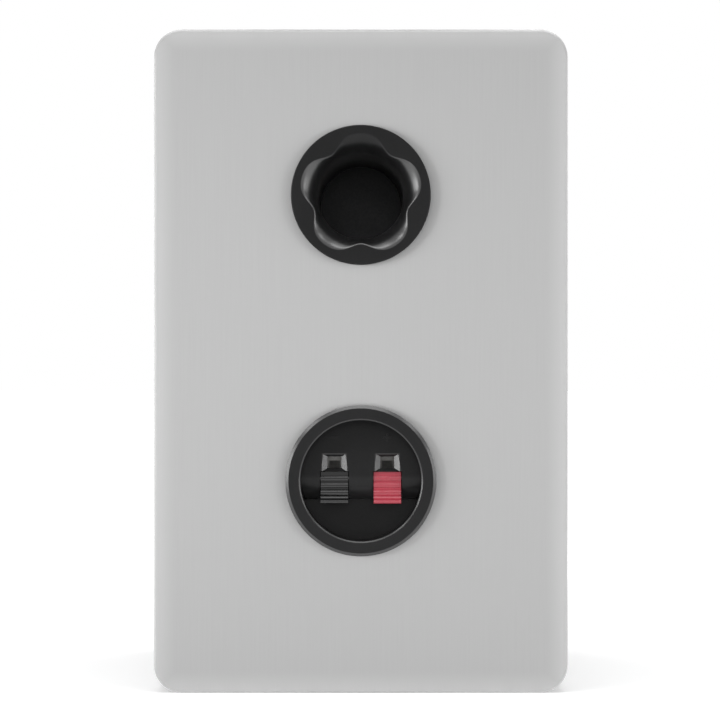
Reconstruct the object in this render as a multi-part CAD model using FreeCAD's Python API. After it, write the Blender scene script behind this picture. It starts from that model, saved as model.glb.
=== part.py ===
"""Compact passive two-way studio monitor speaker.

The cabinet stands on z = 0, its front looks along -Y and its back along +Y. Lengths are in
millimetres. Heights of turned parts are measured outward from the face of the front plate for
the drivers, and outward from the face of the rear plate for the port and the terminal cup.
"""
import FreeCAD
import Part
import math
import os
from collections import namedtuple

Vector = FreeCAD.Vector
Bend = namedtuple("Bend", "through to")
Screw = namedtuple("Screw", "shank head height length")

# Cabinet
WALL = 12.0  # board of the sleeve
CORNER_RADIUS = 10.5  # outer corners
INNER_CORNER = 2.0  # inside corners of the sleeve
CABINET_DEPTH = 190.0  # face of the front plate to face of the rear plate
PLATE = 2.5  # aluminium front and rear plates
PLATE_ROUND = 1.2  # rounded outer edge of both plates
BAFFLE = 15.0  # board behind the front plate
REAR_BOARD = 12.0  # board behind the rear plate
FRAME_MARGIN = 6.0  # woofer frame to the inside of the walls
DRIVER_GAP = 9.0  # woofer frame to tweeter faceplate
HEADROOM = 11.0  # tweeter faceplate to the inside of the top wall
RECESS_GAP = 0.4  # driver edge to its recess or cut-out
GLUE_GAP = 0.3  # soft or glued part to its seat
FIT = 0.05  # shank in its pilot hole, part glued round another
PAST = 1.0  # how far a cut runs past the face that it opens

# Woofer: frame and suspension
WOOFER_RADIUS = 60.0
FLANGE_WIDTH = 13.0  # frame edge to the throat of the basket
SHEET = 1.2  # pressed steel of the basket
WOOFER_REBATE = 1.5  # seat behind the front of the baffle
WOOFER_GASKET = 1.0
TRIM_HEIGHT = 3.0
TRIM_OVERHANG = 1.5  # trim ring past the glued lip, towards the throat
TRIM_ROUND = 0.8
SURROUND = 0.7
ROLL_RADIUS = 4.0
GLUE_LIP = 3.0
SHOULDER_DEPTH = 9.0  # flange to the start of the windows
SHOULDER_TAPER = 1.5
SPIDER_DEPTH = 26.0  # flange to the ledge of the spider
LEDGE_RADIUS = 30.0
CAN_RADIUS = 26.5  # inside of the can behind the spider
CAN_DEPTH = 9.0
CAN_BORE_GAP = 2.0  # winding to the hole in the floor of the can
WINDOWS = 6
WINDOW_ANGLE = 40.0
WINDOW_EDGE = 2.0  # sheet left at both ends of a window

# Woofer: cone and motor
CONE = 1.0
CONE_DEPTH = 18.5
CAP_RADIUS = 17.0
CAP_HEIGHT = 5.5
CAP = 0.8
COIL_RADIUS = 12.6  # inside of the coil former
FORMER = 0.3
WINDING = 0.5
WINDING_LENGTH = 10.0
FORMER_OVERHANG = 1.5  # former past the winding and past the neck of the cone
COIL_GAP = 0.5  # coil to pole and to top plate
SPIDER = 0.6
SPIDER_ROLLS = 3
SPIDER_WAVE = 0.55
TOP_PLATE = 5.0
MOTOR_PLATE_RADIUS = 34.0
MAGNET = 13.0
MAGNET_RADIUS = 38.0
MAGNET_BORE = 18.0
BACK_PLATE = 5.0
VENT_RADIUS = 3.0

# Tweeter
TWEETER_RADIUS = 40.0
TWEETER_PLATE = 3.0
TWEETER_ROUND = 0.8
TWEETER_REBATE = 0.5
TWEETER_GASKET = 0.8
WAVEGUIDE_RADIUS = 31.0
WAVEGUIDE_DEPTH = 5.0
WAVEGUIDE_BULGE = 1.1  # flare above the straight line from mouth to throat
COLLAR_RADIUS = 33.0
COLLAR_LAND = 0.8  # straight throat under the flare
DOME_RADIUS = 12.5
DOME_HEIGHT = 4.2
FILM = 0.35
DOME_ROLL = 1.2
CLAMP_LIP = 2.2
DOME_FORMER = 0.2
DOME_WINDING = 0.3
DOME_WINDING_LENGTH = 2.4
DOME_COIL_GAP = 0.45
DOME_TOP_PLATE = 3.0
DOME_PLATE_RADIUS = 28.0
DOME_MAGNET = 9.0
DOME_MAGNET_RADIUS = 30.0
DOME_MAGNET_BORE = 17.0
DOME_BACK_PLATE = 3.0

# Screws: radii of the shank and the head, height of the head, length under it
WOOFER_SHANK = 1.9
WOOFER_HEAD = 3.3
WOOFER_HEAD_HEIGHT = 1.9
WOOFER_SCREW_LENGTH = 14.0
TWEETER_SHANK = 1.5
TWEETER_HEAD = 2.6
TWEETER_HEAD_HEIGHT = 1.6
TWEETER_SCREW_LENGTH = 12.0
BOARD_SHANK = 1.5
BOARD_HEAD = 2.8
BOARD_HEAD_HEIGHT = 1.8
BOARD_SCREW_LENGTH = 13.0
WOOFER_SCREW_INSET = 5.0
TWEETER_SCREW_INSET = 3.6
DRIVER_SCREWS = 4
SCREW_ANGLE = 45.0  # first screw from the horizontal
HEAD_GAP = 0.4  # head to its counterbore
HEAD_PROUD = 0.3  # head above the face that it is let into
SHANK_GAP = 0.25  # shank to a clearance hole
SOCKET_SHARE = 0.5  # hexagon across its corners, as a share of the head
PILOT_TIP = 1.0  # pilot hole past the end of the screw

# Reflex port
PORT_DROP = 62.5  # top of the cabinet to the axis of the port
PORT_BORE = 16.3
PORT_WALL = 2.0
PORT_MOUTH = 20.7  # mean radius of the lobed edge
PORT_LOBE = 2.25  # lobes and valleys either side of the mean
PORT_LOBES = 5
PORT_FULLNESS = 0.35  # how far the lobes are wider than the valleys
PORT_BAND = 3.35  # flat ring outside the lobes
PORT_FLANGE = 2.6
PORT_FLANGE_ROUND = 0.5
PORT_FLARE_DEPTH = 11.0
PORT_ROLL = 0.97  # share of a quarter round in the flare, up to its edge
PORT_COLLAR_WALL = 1.8  # round the flare where it passes the rear plate
PORT_COLLAR_TAPER = 4.0
PORT_LENGTH = 95.0
PANEL_GAP = 0.3  # collar or cup to its hole in the back
MOUTH_STEPS = (0.0, 0.02, 0.08, 0.2, 0.38, 0.65, 1.0)  # lofted sections, as shares of the flare
MOUTH_POINTS = 60

# Terminal cup
CUP_HEIGHT = 80.0  # floor to the axis of the cup
CUP_RADIUS = 28.4
CUP_FLANGE = 3.0
CUP_BEVEL = (1.2, 0.7)  # outer edge of the flange, inward and downward
CUP_RING = 5.6  # flange edge to recess
CUP_EDGE = (0.5, 0.3)  # edge of the recess, outward and downward
CUP_WALL = 2.0
CUP_DEPTH = 16.0
PLATFORM_TOP = 6.2  # depth of the upper floor at its top
PLATFORM_EDGE = 4.0  # depth of the upper floor at the ridge
RIDGE_HEIGHT = 0.9  # ridge above the axis
RIDGE_ROLL = 0.92  # round of the ridge, as a share of the step's depth
STEP_DROP = 7.6  # foot of the step below the axis
LOWER_FLOOR = 13.6  # depth of the lower floor
FLOOR_RISE = 1.0  # lower floor towards its outer edge
CUP_GASKET = 0.8
GASKET_BAND = 1.8
BARBS = 4
BARB = 1.2
BARB_WIDTH = 8.0
BARB_ANGLE = 45.0  # first hook from the vertical

# Wire clips
CLIP_PITCH = 20.0
FUNNEL_WIDTH = 9.3
FUNNEL_HEIGHT = 6.6
FUNNEL_RISE = 6.7  # centre of the funnel above the axis
FUNNEL_DEPTH = 1.1
WIRE_WIDTH = 5.3
WIRE_HEIGHT = 4.4
MARK_RISE = 16.0  # polarity marks above the axis
MARK_LENGTH = 3.2
MARK_WIDTH = 0.8
MARK_RELIEF = 0.35
LEVER_WIDTH = 10.3
LEVER_SIDE_GAP = 0.3
LEVER_TOP_GAP = 0.3
LEVER_RIBS = 4
RIB_RADIUS = 1.4
RIB_SINK = 0.95  # axis of a rib behind the face of the lever
PIVOT_DEPTH = 10.0
PIVOT_RISE = 0.8
PIVOT_RADIUS = 1.25
PIVOT_REACH = 1.4  # stub axle in the wall of its chamber
PIVOT_GAP = 0.07
HUB_RADIUS = 2.2
HEEL_REACH = 7.0
HEEL_DROP = 1.4  # underside of the heel below the pivot
HEEL_THICKNESS = 1.6
LEVER_FACE_TOP = 4.7  # top edge of the thumb face, outward from the pivot
LEVER_FACE_BEND = (5.3, -3.0)  # outline points as (outward, upward) from the pivot
LEVER_FACE_MIDDLE = (6.8, -6.3)
LEVER_LIP = (9.9, -8.3)
LEVER_LIP_NOSE = (10.1, -9.1)
LEVER_LIP_UNDER = (9.2, -9.5)
LEVER_BACK_MIDDLE = (5.1, -7.2)
LEVER_BACK_TOP = (3.1, -3.2)
CHAMBER_FRONT = 8.6
CHAMBER_FLOOR = 4.5
CHAMBER_TOP = 13.0
CHAMBER_BACK = 27.0
CHAMBER_WALL = 1.8
COVER = 1.5
STRIP = 0.5
STRIP_WIDTH = 7.0
STRIP_BEND = 2.0
STRIP_REACH = 5.5  # pivot to the free leg of the contact
CONTACT_WINDOW = 4.0
CONTACT_REST = 1.6  # window below the wire hole while the lever is up
TAG_DROP = 3.0
TAG_REACH = 9.0
TAG_SLOT_GAP = 0.3

# Driver tags
TAG_STRIP_WIDTH = 18.0
TAG_STRIP_HEIGHT = 4.0
TAG_STRIP_DEPTH = 6.5
TAG_PITCH = 10.0
TAG_WIDTH = 4.0
TAG = 0.8
TAG_HEIGHT = 8.0
DOME_STRIP = 2.0
DOME_STRIP_HEIGHT = 6.0
DOME_STRIP_DROP = 21.5  # strip below the axis of the tweeter

# Crossover
BOARD_WIDTH = 84.0
BOARD_LENGTH = 60.0
BOARD = 1.6
BOARD_REAR_GAP = 12.0
BOARD_INSET = 5.0
STANDOFF = 5.0
STANDOFF_RADIUS = 3.2
SPOOL_RADIUS = 19.0
SPOOL_CORE = 8.0
SPOOL_HEIGHT = 20.0
SPOOL_FLANGE = 2.0
SPOOL_BORE = 5.0
SPOOL_FILL = 1.5  # winding inside the edge of the spool
FILM_SIZE = (26.0, 14.0, 18.0)
CAN_SIZE = (7.0, 26.0)  # radius and length of the bipolar capacitor
CAN_ROUND = 0.6
CAN_CRIMP = 0.6  # depth of the groove near the end of the can
CAN_CRIMP_WIDTH = 1.2
CAN_CRIMP_INSET = 3.25
RESISTOR_SIZE = (8.0, 26.0, 8.0)
PART_ROUND = 1.2
PART_GAP = 0.25  # between neighbours on the board
PART_SPREAD = 15.0  # both capacitors from the middle of the board
LEAD_RADIUS = 1.0
TINSEL_RADIUS = 0.6
ARC_SHARE = 0.45  # tangent length of a lead's arc, as a share of the shorter run

# Wadding
WADDING = 13.5
WADDING_BOTTOM = 60.0
WADDING_TOP_GAP = 20.0
WADDING_END_GAP = 8.0
WADDING_ROUND = 4.0

# Screws by their use
WOOFER_SCREW = Screw(WOOFER_SHANK, WOOFER_HEAD, WOOFER_HEAD_HEIGHT, WOOFER_SCREW_LENGTH)
TWEETER_SCREW = Screw(TWEETER_SHANK, TWEETER_HEAD, TWEETER_HEAD_HEIGHT, TWEETER_SCREW_LENGTH)
BOARD_SCREW = Screw(BOARD_SHANK, BOARD_HEAD, BOARD_HEAD_HEIGHT, BOARD_SCREW_LENGTH)

# Cabinet sizes that follow from the drivers
CABINET_WIDTH = 2 * (WOOFER_RADIUS + FRAME_MARGIN + WALL)
WOOFER_Z = WALL + FRAME_MARGIN + WOOFER_RADIUS
TWEETER_Z = WOOFER_Z + WOOFER_RADIUS + DRIVER_GAP + TWEETER_RADIUS
CABINET_HEIGHT = TWEETER_Z + TWEETER_RADIUS + HEADROOM + WALL
PORT_Z = CABINET_HEIGHT - PORT_DROP

# Woofer levels, outward from the front plate, and radii that follow
WOOFER_SEAT = -(PLATE + WOOFER_REBATE)
FLANGE_BACK = WOOFER_SEAT + WOOFER_GASKET
FLANGE_TOP = FLANGE_BACK + SHEET
TRIM_TOP = FLANGE_TOP + TRIM_HEIGHT
THROAT_RADIUS = WOOFER_RADIUS - FLANGE_WIDTH
WOOFER_CUTOUT = THROAT_RADIUS + SHEET + RECESS_GAP
ROLL_CENTRE = THROAT_RADIUS - ROLL_RADIUS
RIM_RADIUS = ROLL_CENTRE - ROLL_RADIUS
RIM_INSIDE = RIM_RADIUS - GLUE_LIP
LEDGE_TOP = FLANGE_TOP - SPIDER_DEPTH
CAN_FLOOR = LEDGE_TOP - CAN_DEPTH
MOTOR_TOP = CAN_FLOOR - SHEET
MAGNET_TOP = MOTOR_TOP - TOP_PLATE
MAGNET_BACK = MAGNET_TOP - MAGNET
WOOFER_BACK = MAGNET_BACK - BACK_PLATE
FORMER_RADIUS = COIL_RADIUS + FORMER
WINDING_RADIUS = FORMER_RADIUS + FIT + WINDING
NECK_RADIUS = FORMER_RADIUS + FIT
NECK = FLANGE_TOP - CONE_DEPTH
COIL_CENTRE = MOTOR_TOP - TOP_PLATE / 2
COIL_BOTTOM = COIL_CENTRE - WINDING_LENGTH / 2
TAG_LEVEL = (LEDGE_TOP + CAN_FLOOR) / 2 - SHEET
TAG_SEAT = CAN_RADIUS + SHEET + TAG_STRIP_HEIGHT

# Tweeter levels and radii
TWEETER_SEAT = -(PLATE + TWEETER_REBATE)
FACE_BACK = TWEETER_SEAT + TWEETER_GASKET
FACE_TOP = FACE_BACK + TWEETER_PLATE
GUIDE_FLOOR = FACE_TOP - WAVEGUIDE_DEPTH
COLLAR_BACK = GUIDE_FLOOR - COLLAR_LAND
DOME_ROLL_CENTRE = DOME_RADIUS + FIT + FILM + DOME_ROLL
GUIDE_THROAT = DOME_ROLL_CENTRE + DOME_ROLL + FILM
CLAMP_RADIUS = GUIDE_THROAT + CLAMP_LIP
DOME_BASE = COLLAR_BACK + FILM
DOME_FORMER_RADIUS = DOME_RADIUS - FILM + DOME_FORMER
DOME_WINDING_RADIUS = DOME_FORMER_RADIUS + FIT + DOME_WINDING
DOME_POLE = DOME_FORMER_RADIUS - DOME_FORMER - DOME_COIL_GAP
DOME_MAGNET_TOP = COLLAR_BACK - DOME_TOP_PLATE
DOME_MAGNET_BACK = DOME_MAGNET_TOP - DOME_MAGNET
TWEETER_BACK = DOME_MAGNET_BACK - DOME_BACK_PLATE
DOME_TAGS_Z = TWEETER_Z - DOME_STRIP_DROP

# Port and cup radii, and the terminal block behind the cup
PORT_FLANGE_RADIUS = PORT_MOUTH + PORT_LOBE + PORT_BAND
PORT_TUBE = PORT_BORE + PORT_WALL
CUP_RECESS = CUP_RADIUS - CUP_RING
CUP_SKIRT = CUP_RECESS + CUP_WALL
CUP_HOLE = CUP_SKIRT + PANEL_GAP
CHAMBER_HALF = LEVER_WIDTH / 2 + LEVER_SIDE_GAP
BLOCK_HALF = CLIP_PITCH / 2 + CHAMBER_HALF + CHAMBER_WALL
BLOCK_BOTTOM = -(CHAMBER_FLOOR + CHAMBER_WALL)
BLOCK_TOP = CHAMBER_TOP + CHAMBER_WALL
LEVER_TOP = FUNNEL_RISE - FUNNEL_HEIGHT / 2 - LEVER_TOP_GAP
HEEL_TOP = PIVOT_RISE - HEEL_DROP + HEEL_THICKNESS
CLIPS = {"positive": -CLIP_PITCH / 2, "negative": CLIP_PITCH / 2}

# Faces of the cabinet along Y, with the origin midway between the foremost and rearmost points
FRONT_PROUD = max(TRIM_TOP + HEAD_PROUD, FLANGE_TOP + ROLL_RADIUS + SURROUND / 2)
REAR_PROUD = max(CUP_FLANGE, PORT_FLANGE)
FRONT_FACE = (FRONT_PROUD - CABINET_DEPTH - REAR_PROUD) / 2
REAR_FACE = FRONT_FACE + CABINET_DEPTH
BOARD_TOP = WALL + STANDOFF + BOARD
BOARD_REAR = REAR_FACE - PLATE - REAR_BOARD - BOARD_REAR_GAP
BOARD_FRONT = BOARD_REAR - BOARD_LENGTH
BOARD_MIDDLE = (BOARD_REAR + BOARD_FRONT) / 2
SPOOL_X = BOARD_INSET + SPOOL_RADIUS - BOARD_WIDTH / 2
PARTS_X = BOARD_WIDTH / 2 - BOARD_INSET - RESISTOR_SIZE[0] - FILM_SIZE[0] / 2
RESISTOR_X = PARTS_X + FILM_SIZE[0] / 2 + PART_GAP + RESISTOR_SIZE[0] / 2


def ahead(height):
    """Y of a plane this far outward from the face of the front plate."""
    return FRONT_FACE - height


def behind(height):
    """Y of a plane this far outward from the face of the rear plate."""
    return REAR_FACE + height


def closed_wire(outline, place):
    """Wire through the points and bends of an outline, set in space by place."""
    edges = []
    start = outline[0]
    for item in outline[1:] + outline[:1]:
        end = item.to if isinstance(item, Bend) else item
        if isinstance(item, Bend):
            edges.append(Part.Arc(place(start), place(item.through), place(end)).toShape())
        elif not place(start).isEqual(place(end), 1e-7):
            edges.append(Part.makeLine(place(start), place(end)))
        start = end
    return Part.Wire(edges)


def outward(solid):
    """The solid with its faces looking outward."""
    if solid.Volume < 0:
        solid.reverse()
    return solid


def turned(outline, centre_z, plane):
    """Solid turned about an axis along Y, from (radius, height) points."""
    face = Part.Face(closed_wire(outline, lambda p: Vector(p[0], plane(p[1]), 0)))
    solid = outward(face.revolve(Vector(0, 0, 0), Vector(0, 1, 0), 360))
    return solid.translated(Vector(0, 0, centre_z))


def ring(inside, outside, low, high, centre_z, plane):
    """Plain turned ring."""
    outline = [(inside, low), (outside, low), (outside, high), (inside, high)]
    return turned(outline, centre_z, plane)


def slab(outline, y0, y1):
    """Prism along Y on an outline of (x, z) points."""
    face = Part.Face(closed_wire(outline, lambda p: Vector(p[0], y0, p[1])))
    return outward(face.extrude(Vector(0, y1 - y0, 0)))


def prism(outline, x0, x1, centre_z, plane):
    """Prism along X on an outline of (height, rise) points about a turned part's axis."""
    face = Part.Face(closed_wire(outline, lambda p: Vector(x0, plane(p[0]), centre_z + p[1])))
    return outward(face.extrude(Vector(x1 - x0, 0, 0)))


def block(x0, x1, y0, y1, z0, z1):
    """Box between two corners."""
    low = Vector(min(x0, x1), min(y0, y1), min(z0, z1))
    return Part.makeBox(abs(x1 - x0), abs(y1 - y0), abs(z1 - z0), low)


def bar(radius, x, z, y0, y1):
    """Round bar along Y."""
    return Part.makeCylinder(radius, abs(y1 - y0), Vector(x, min(y0, y1), z), Vector(0, 1, 0))


def post(radius, x, y, z0, z1):
    """Round bar along Z."""
    return Part.makeCylinder(radius, z1 - z0, Vector(x, y, z0), Vector(0, 0, 1))


def rounded_outline(width, bottom, top, radius):
    """Outline of an upright rectangle with round corners, centred on x = 0."""
    half = width / 2
    cut = radius * (1 - math.sqrt(0.5))
    return [
        (radius - half, bottom),
        (half - radius, bottom),
        Bend((half - cut, bottom + cut), (half, bottom + radius)),
        (half, top - radius),
        Bend((half - cut, top - cut), (half - radius, top)),
        (radius - half, top),
        Bend((cut - half, top - cut), (-half, top - radius)),
        (-half, bottom + radius),
        Bend((cut - half, bottom + cut), (radius - half, bottom)),
    ]


def round_corner(before, corner, after, radius):
    """Start, middle and end of the arc that rounds a corner between two runs."""
    back = (before - corner).normalize()
    on = (after - corner).normalize()
    half = back.getAngle(on) / 2
    middle = (back + on).normalize()
    centre = corner + middle * (radius / math.sin(half))
    reach = radius / math.tan(half)
    return corner + back * reach, centre - middle * radius, corner + on * reach


def rounded_path(points, radius_at):
    """Open wire of straight runs and tangent arcs through a list of points."""
    edges = []
    start = points[0]
    for i in range(1, len(points) - 1):
        first, through, last = round_corner(*points[i - 1 : i + 2], radius_at(i))
        edges.append(Part.makeLine(start, first))
        edges.append(Part.Arc(first, through, last).toShape())
        start = last
    edges.append(Part.makeLine(start, points[-1]))
    return Part.Wire(edges)


def lead(points, radius):
    """Insulated lead along a route, each bend as large as its two runs allow."""
    points = [Vector(*p) for p in points]

    def widest(i):
        back, on = points[i - 1] - points[i], points[i + 1] - points[i]
        reach = ARC_SHARE * min(back.Length, on.Length)
        return reach * math.tan(Vector(back).getAngle(on) / 2)

    path = rounded_path(points, widest)
    start = Part.Circle(points[0], points[1] - points[0], radius).toShape()
    return outward(path.makePipeShell([Part.Wire(start)], True, False))


def around(count, radius, centre_z, first_angle):
    """Evenly spaced (x, z) places on a circle."""
    places = []
    for i in range(count):
        angle = math.radians(first_angle + 360 * i / count)
        places.append((radius * math.cos(angle), centre_z + radius * math.sin(angle)))
    return places


def driver_screws(screw, places, face_top):
    """Socket screws let into a driver's face, one solid each."""
    seat = face_top + HEAD_PROUD - screw.height
    outline = [
        (0, seat - screw.length),
        (screw.shank - FIT, seat - screw.length),
        (screw.shank, seat - screw.length + screw.shank),
        (screw.shank, seat),
        (screw.head, seat),
        (screw.head, seat + screw.height / 2),
        (screw.head - screw.height / 2, seat + screw.height),
        (0, seat + screw.height),
    ]
    solids = []
    for x, z in places:
        solid = turned(outline, z, ahead).translated(Vector(x, 0, 0))
        corners = around(6, screw.head * SOCKET_SHARE, z, 0)
        socket = slab(
            [(x + cx, cz) for cx, cz in corners],
            ahead(seat + screw.height / 3),
            ahead(seat + 2 * screw.height),
        )
        solids.append(solid.cut(socket))
    return Part.makeCompound(solids)


def screw_holes(shape, screw, places, face_top, deep):
    """Shape with clearance holes for driver screws, and counterbores down from face_top."""
    seat = face_top + HEAD_PROUD - screw.height
    for x, z in places:
        shape = shape.cut(bar(screw.shank + SHANK_GAP, x, z, ahead(deep), ahead(face_top)))
        shape = shape.cut(bar(screw.head + HEAD_GAP, x, z, ahead(seat), ahead(face_top + PAST)))
    return shape


WOOFER_PLACES = around(
    DRIVER_SCREWS, WOOFER_RADIUS - WOOFER_SCREW_INSET, WOOFER_Z, SCREW_ANGLE
)
TWEETER_PLACES = around(
    DRIVER_SCREWS, TWEETER_RADIUS - TWEETER_SCREW_INSET, TWEETER_Z, SCREW_ANGLE
)
BOARD_PLACES = [
    (x, y)
    for x in (BOARD_INSET - BOARD_WIDTH / 2, BOARD_WIDTH / 2 - BOARD_INSET)
    for y in (BOARD_FRONT + BOARD_INSET, BOARD_REAR - BOARD_INSET)
]


def cabinet_sleeve():
    """Folded board sleeve, with pilot holes in its floor for the crossover."""
    y0, y1 = FRONT_FACE + PLATE, REAR_FACE - PLATE
    sleeve = slab(rounded_outline(CABINET_WIDTH, 0, CABINET_HEIGHT, CORNER_RADIUS), y0, y1)
    inside = rounded_outline(CABINET_WIDTH - 2 * WALL, WALL, CABINET_HEIGHT - WALL, INNER_CORNER)
    sleeve = sleeve.cut(slab(inside, y0 - PAST, y1 + PAST))
    tip = BOARD_TOP - BOARD_SCREW.length - PILOT_TIP
    for x, y in BOARD_PLACES:
        sleeve = sleeve.cut(post(BOARD_SCREW.shank + FIT, x, y, tip, WALL + PAST))
    return sleeve


def face_plate(outer_y, inner_y):
    """Cabinet-sized plate with its outer edge rounded."""
    outline = rounded_outline(CABINET_WIDTH, 0, CABINET_HEIGHT, CORNER_RADIUS)
    plate = slab(outline, outer_y, inner_y)
    rim = [e for e in plate.Edges if all(abs(v.Y - outer_y) < 1e-6 for v in e.Vertexes)]
    return plate.makeFillet(PLATE_ROUND, rim)


def front_plate():
    """Brushed front plate, open round both drivers."""
    plate = face_plate(FRONT_FACE, FRONT_FACE + PLATE)
    for radius, z in ((WOOFER_RADIUS, WOOFER_Z), (TWEETER_RADIUS, TWEETER_Z)):
        plate = plate.cut(bar(radius + RECESS_GAP, 0, z, ahead(PAST), ahead(-PLATE - PAST)))
    return plate


def front_baffle():
    """Board that carries the drivers, let into the sleeve."""
    back = -PLATE - BAFFLE
    outline = rounded_outline(
        CABINET_WIDTH - 2 * WALL, WALL, CABINET_HEIGHT - WALL, INNER_CORNER
    )
    board = slab(outline, ahead(-PLATE), ahead(back))
    drivers = (
        (WOOFER_Z, WOOFER_RADIUS, WOOFER_SEAT, WOOFER_CUTOUT, WOOFER_SCREW, WOOFER_PLACES, TRIM_TOP),
        (
            TWEETER_Z,
            TWEETER_RADIUS,
            TWEETER_SEAT,
            COLLAR_RADIUS + RECESS_GAP,
            TWEETER_SCREW,
            TWEETER_PLACES,
            FACE_TOP,
        ),
    )
    for z, radius, seat, cutout, screw, places, top in drivers:
        board = board.cut(bar(radius + RECESS_GAP, 0, z, ahead(seat), ahead(0)))
        board = board.cut(bar(cutout, 0, z, ahead(back - PAST), ahead(0)))
        tip = top + HEAD_PROUD - screw.height - screw.length - PILOT_TIP
        for x, pilot_z in places:
            board = board.cut(bar(screw.shank + FIT, x, pilot_z, ahead(tip), ahead(0)))
    return board


def port_collar_radius():
    """Outside of the port where it passes the rear plate, round the lobes at that depth."""
    return mouth_radius(PORT_FLANGE, 0) + PORT_COLLAR_WALL


def rear_holes(shape):
    """Shape with the holes for the port and the terminal cup."""
    inner, outer = behind(-PLATE - REAR_BOARD - PAST), behind(PAST)
    shape = shape.cut(bar(port_collar_radius() + PANEL_GAP, 0, PORT_Z, inner, outer))
    return shape.cut(bar(CUP_HOLE, 0, CUP_HEIGHT, inner, outer))


def rear_plate():
    """Brushed rear plate with the holes for the port and the terminal cup."""
    return rear_holes(face_plate(REAR_FACE, REAR_FACE - PLATE))


def rear_board():
    """Board behind the rear plate, let into the sleeve."""
    outline = rounded_outline(
        CABINET_WIDTH - 2 * WALL, WALL, CABINET_HEIGHT - WALL, INNER_CORNER
    )
    return rear_holes(slab(outline, behind(-PLATE - REAR_BOARD), behind(-PLATE)))


def mouth_radius(depth, angle):
    """Radius of the lobed mouth below the flange's face, at an angle from a lobe's crest."""
    inward = PORT_ROLL * (1 - depth / PORT_FLARE_DEPTH)
    share = (1 - math.sqrt(1 - inward**2)) / (1 - math.sqrt(1 - PORT_ROLL**2))
    turn = math.cos(PORT_LOBES * angle)
    wave = PORT_LOBE * (turn + PORT_FULLNESS * (1 - turn**2))
    return PORT_BORE + (PORT_MOUTH - PORT_BORE + wave) * share


def mouth_wire(depth):
    """Closed lobed section of the mouth, with one lobe upward."""
    points = []
    for i in range(MOUTH_POINTS):
        angle = 2 * math.pi * i / MOUTH_POINTS
        radius = mouth_radius(depth, angle)
        x, z = radius * math.sin(angle), radius * math.cos(angle)
        points.append(Vector(x, behind(PORT_FLANGE - depth), PORT_Z + z))
    curve = Part.BSplineCurve()
    curve.interpolate(points, True)
    return Part.Wire(curve.toShape())


def reflex_port():
    """Moulded port: round flange, lobed flare and straight tube."""
    collar = port_collar_radius()
    collar_back = PORT_FLANGE - PORT_FLARE_DEPTH
    arc = PORT_FLANGE_ROUND * (1 - math.sqrt(0.5))
    outline = [
        (0, PORT_FLANGE),
        (PORT_FLANGE_RADIUS - PORT_FLANGE_ROUND, PORT_FLANGE),
        Bend(
            (PORT_FLANGE_RADIUS - arc, PORT_FLANGE - arc),
            (PORT_FLANGE_RADIUS, PORT_FLANGE - PORT_FLANGE_ROUND),
        ),
        (PORT_FLANGE_RADIUS, 0),
        (collar, 0),
        (collar, collar_back),
        (PORT_TUBE, collar_back - PORT_COLLAR_TAPER),
        (PORT_TUBE, -PORT_LENGTH),
        (0, -PORT_LENGTH),
    ]
    port = turned(outline, PORT_Z, behind)
    wires = [mouth_wire(share * PORT_FLARE_DEPTH) for share in MOUTH_STEPS]
    port = port.cut(Part.makeLoft(wires, True, False))
    bore = Part.Face(wires[-1]).extrude(Vector(0, -PORT_LENGTH - PORT_FLANGE, 0))
    return port.cut(outward(bore))


def platform_depth(rise):
    """Depth of the cup's upper floor at a height above the cup's axis."""
    share = (rise - RIDGE_HEIGHT) / (CUP_RECESS - RIDGE_HEIGHT)
    return PLATFORM_EDGE + (PLATFORM_TOP - PLATFORM_EDGE) * share


def cup_recess():
    """Space inside the cup: an upper floor, a ridge that rolls down, and a lower floor."""
    rim = CUP_FLANGE + PAST
    across, down = CUP_EDGE
    outline = [
        (0, rim),
        (CUP_RECESS + across * (1 + PAST / down), rim),
        (CUP_RECESS, CUP_FLANGE - down),
        (CUP_RECESS, -CUP_DEPTH),
        (0, -CUP_DEPTH),
    ]
    edge = CUP_RECESS + PAST
    ridge = [
        Vector(-platform_depth(edge), edge, 0),
        Vector(-platform_depth(-STEP_DROP), -STEP_DROP, 0),
        Vector(-LOWER_FLOOR, -STEP_DROP, 0),
    ]
    start, through, end = round_corner(*ridge, RIDGE_ROLL * (LOWER_FLOOR - PLATFORM_EDGE))
    floor = [
        (rim, edge),
        (ridge[0].x, ridge[0].y),
        (start.x, start.y),
        Bend((through.x, through.y), (end.x, end.y)),
        (ridge[2].x, ridge[2].y),
        (FLOOR_RISE - LOWER_FLOOR, -edge),
        (rim, -edge),
    ]
    return turned(outline, CUP_HEIGHT, behind).common(
        prism(floor, -edge, edge, CUP_HEIGHT, behind)
    )


def funnel(x):
    """Tapered wire entry with its straight hole into the chamber."""
    wires = []
    outer = -platform_depth(FUNNEL_RISE)
    grow = (FUNNEL_WIDTH - WIRE_WIDTH) / FUNNEL_DEPTH
    rise = (FUNNEL_HEIGHT - WIRE_HEIGHT) / FUNNEL_DEPTH
    for step in (PAST, -FUNNEL_DEPTH):
        half_x = (FUNNEL_WIDTH + grow * step) / 2
        half_z = (FUNNEL_HEIGHT + rise * step) / 2
        corners = [(-half_x, -half_z), (half_x, -half_z), (half_x, half_z), (-half_x, half_z)]
        corners.append(corners[0])
        y = behind(outer + step)
        middle = CUP_HEIGHT + FUNNEL_RISE
        wires.append(Part.makePolygon([Vector(x + cx, y, middle + cz) for cx, cz in corners]))
    taper = Part.makeLoft(wires, True, True)
    hole = block(
        x - WIRE_WIDTH / 2,
        x + WIRE_WIDTH / 2,
        behind(outer - FUNNEL_DEPTH + FIT),
        behind(-CHAMBER_FRONT - PAST),
        CUP_HEIGHT + FUNNEL_RISE - WIRE_HEIGHT / 2,
        CUP_HEIGHT + FUNNEL_RISE + WIRE_HEIGHT / 2,
    )
    return taper, hole


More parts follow.
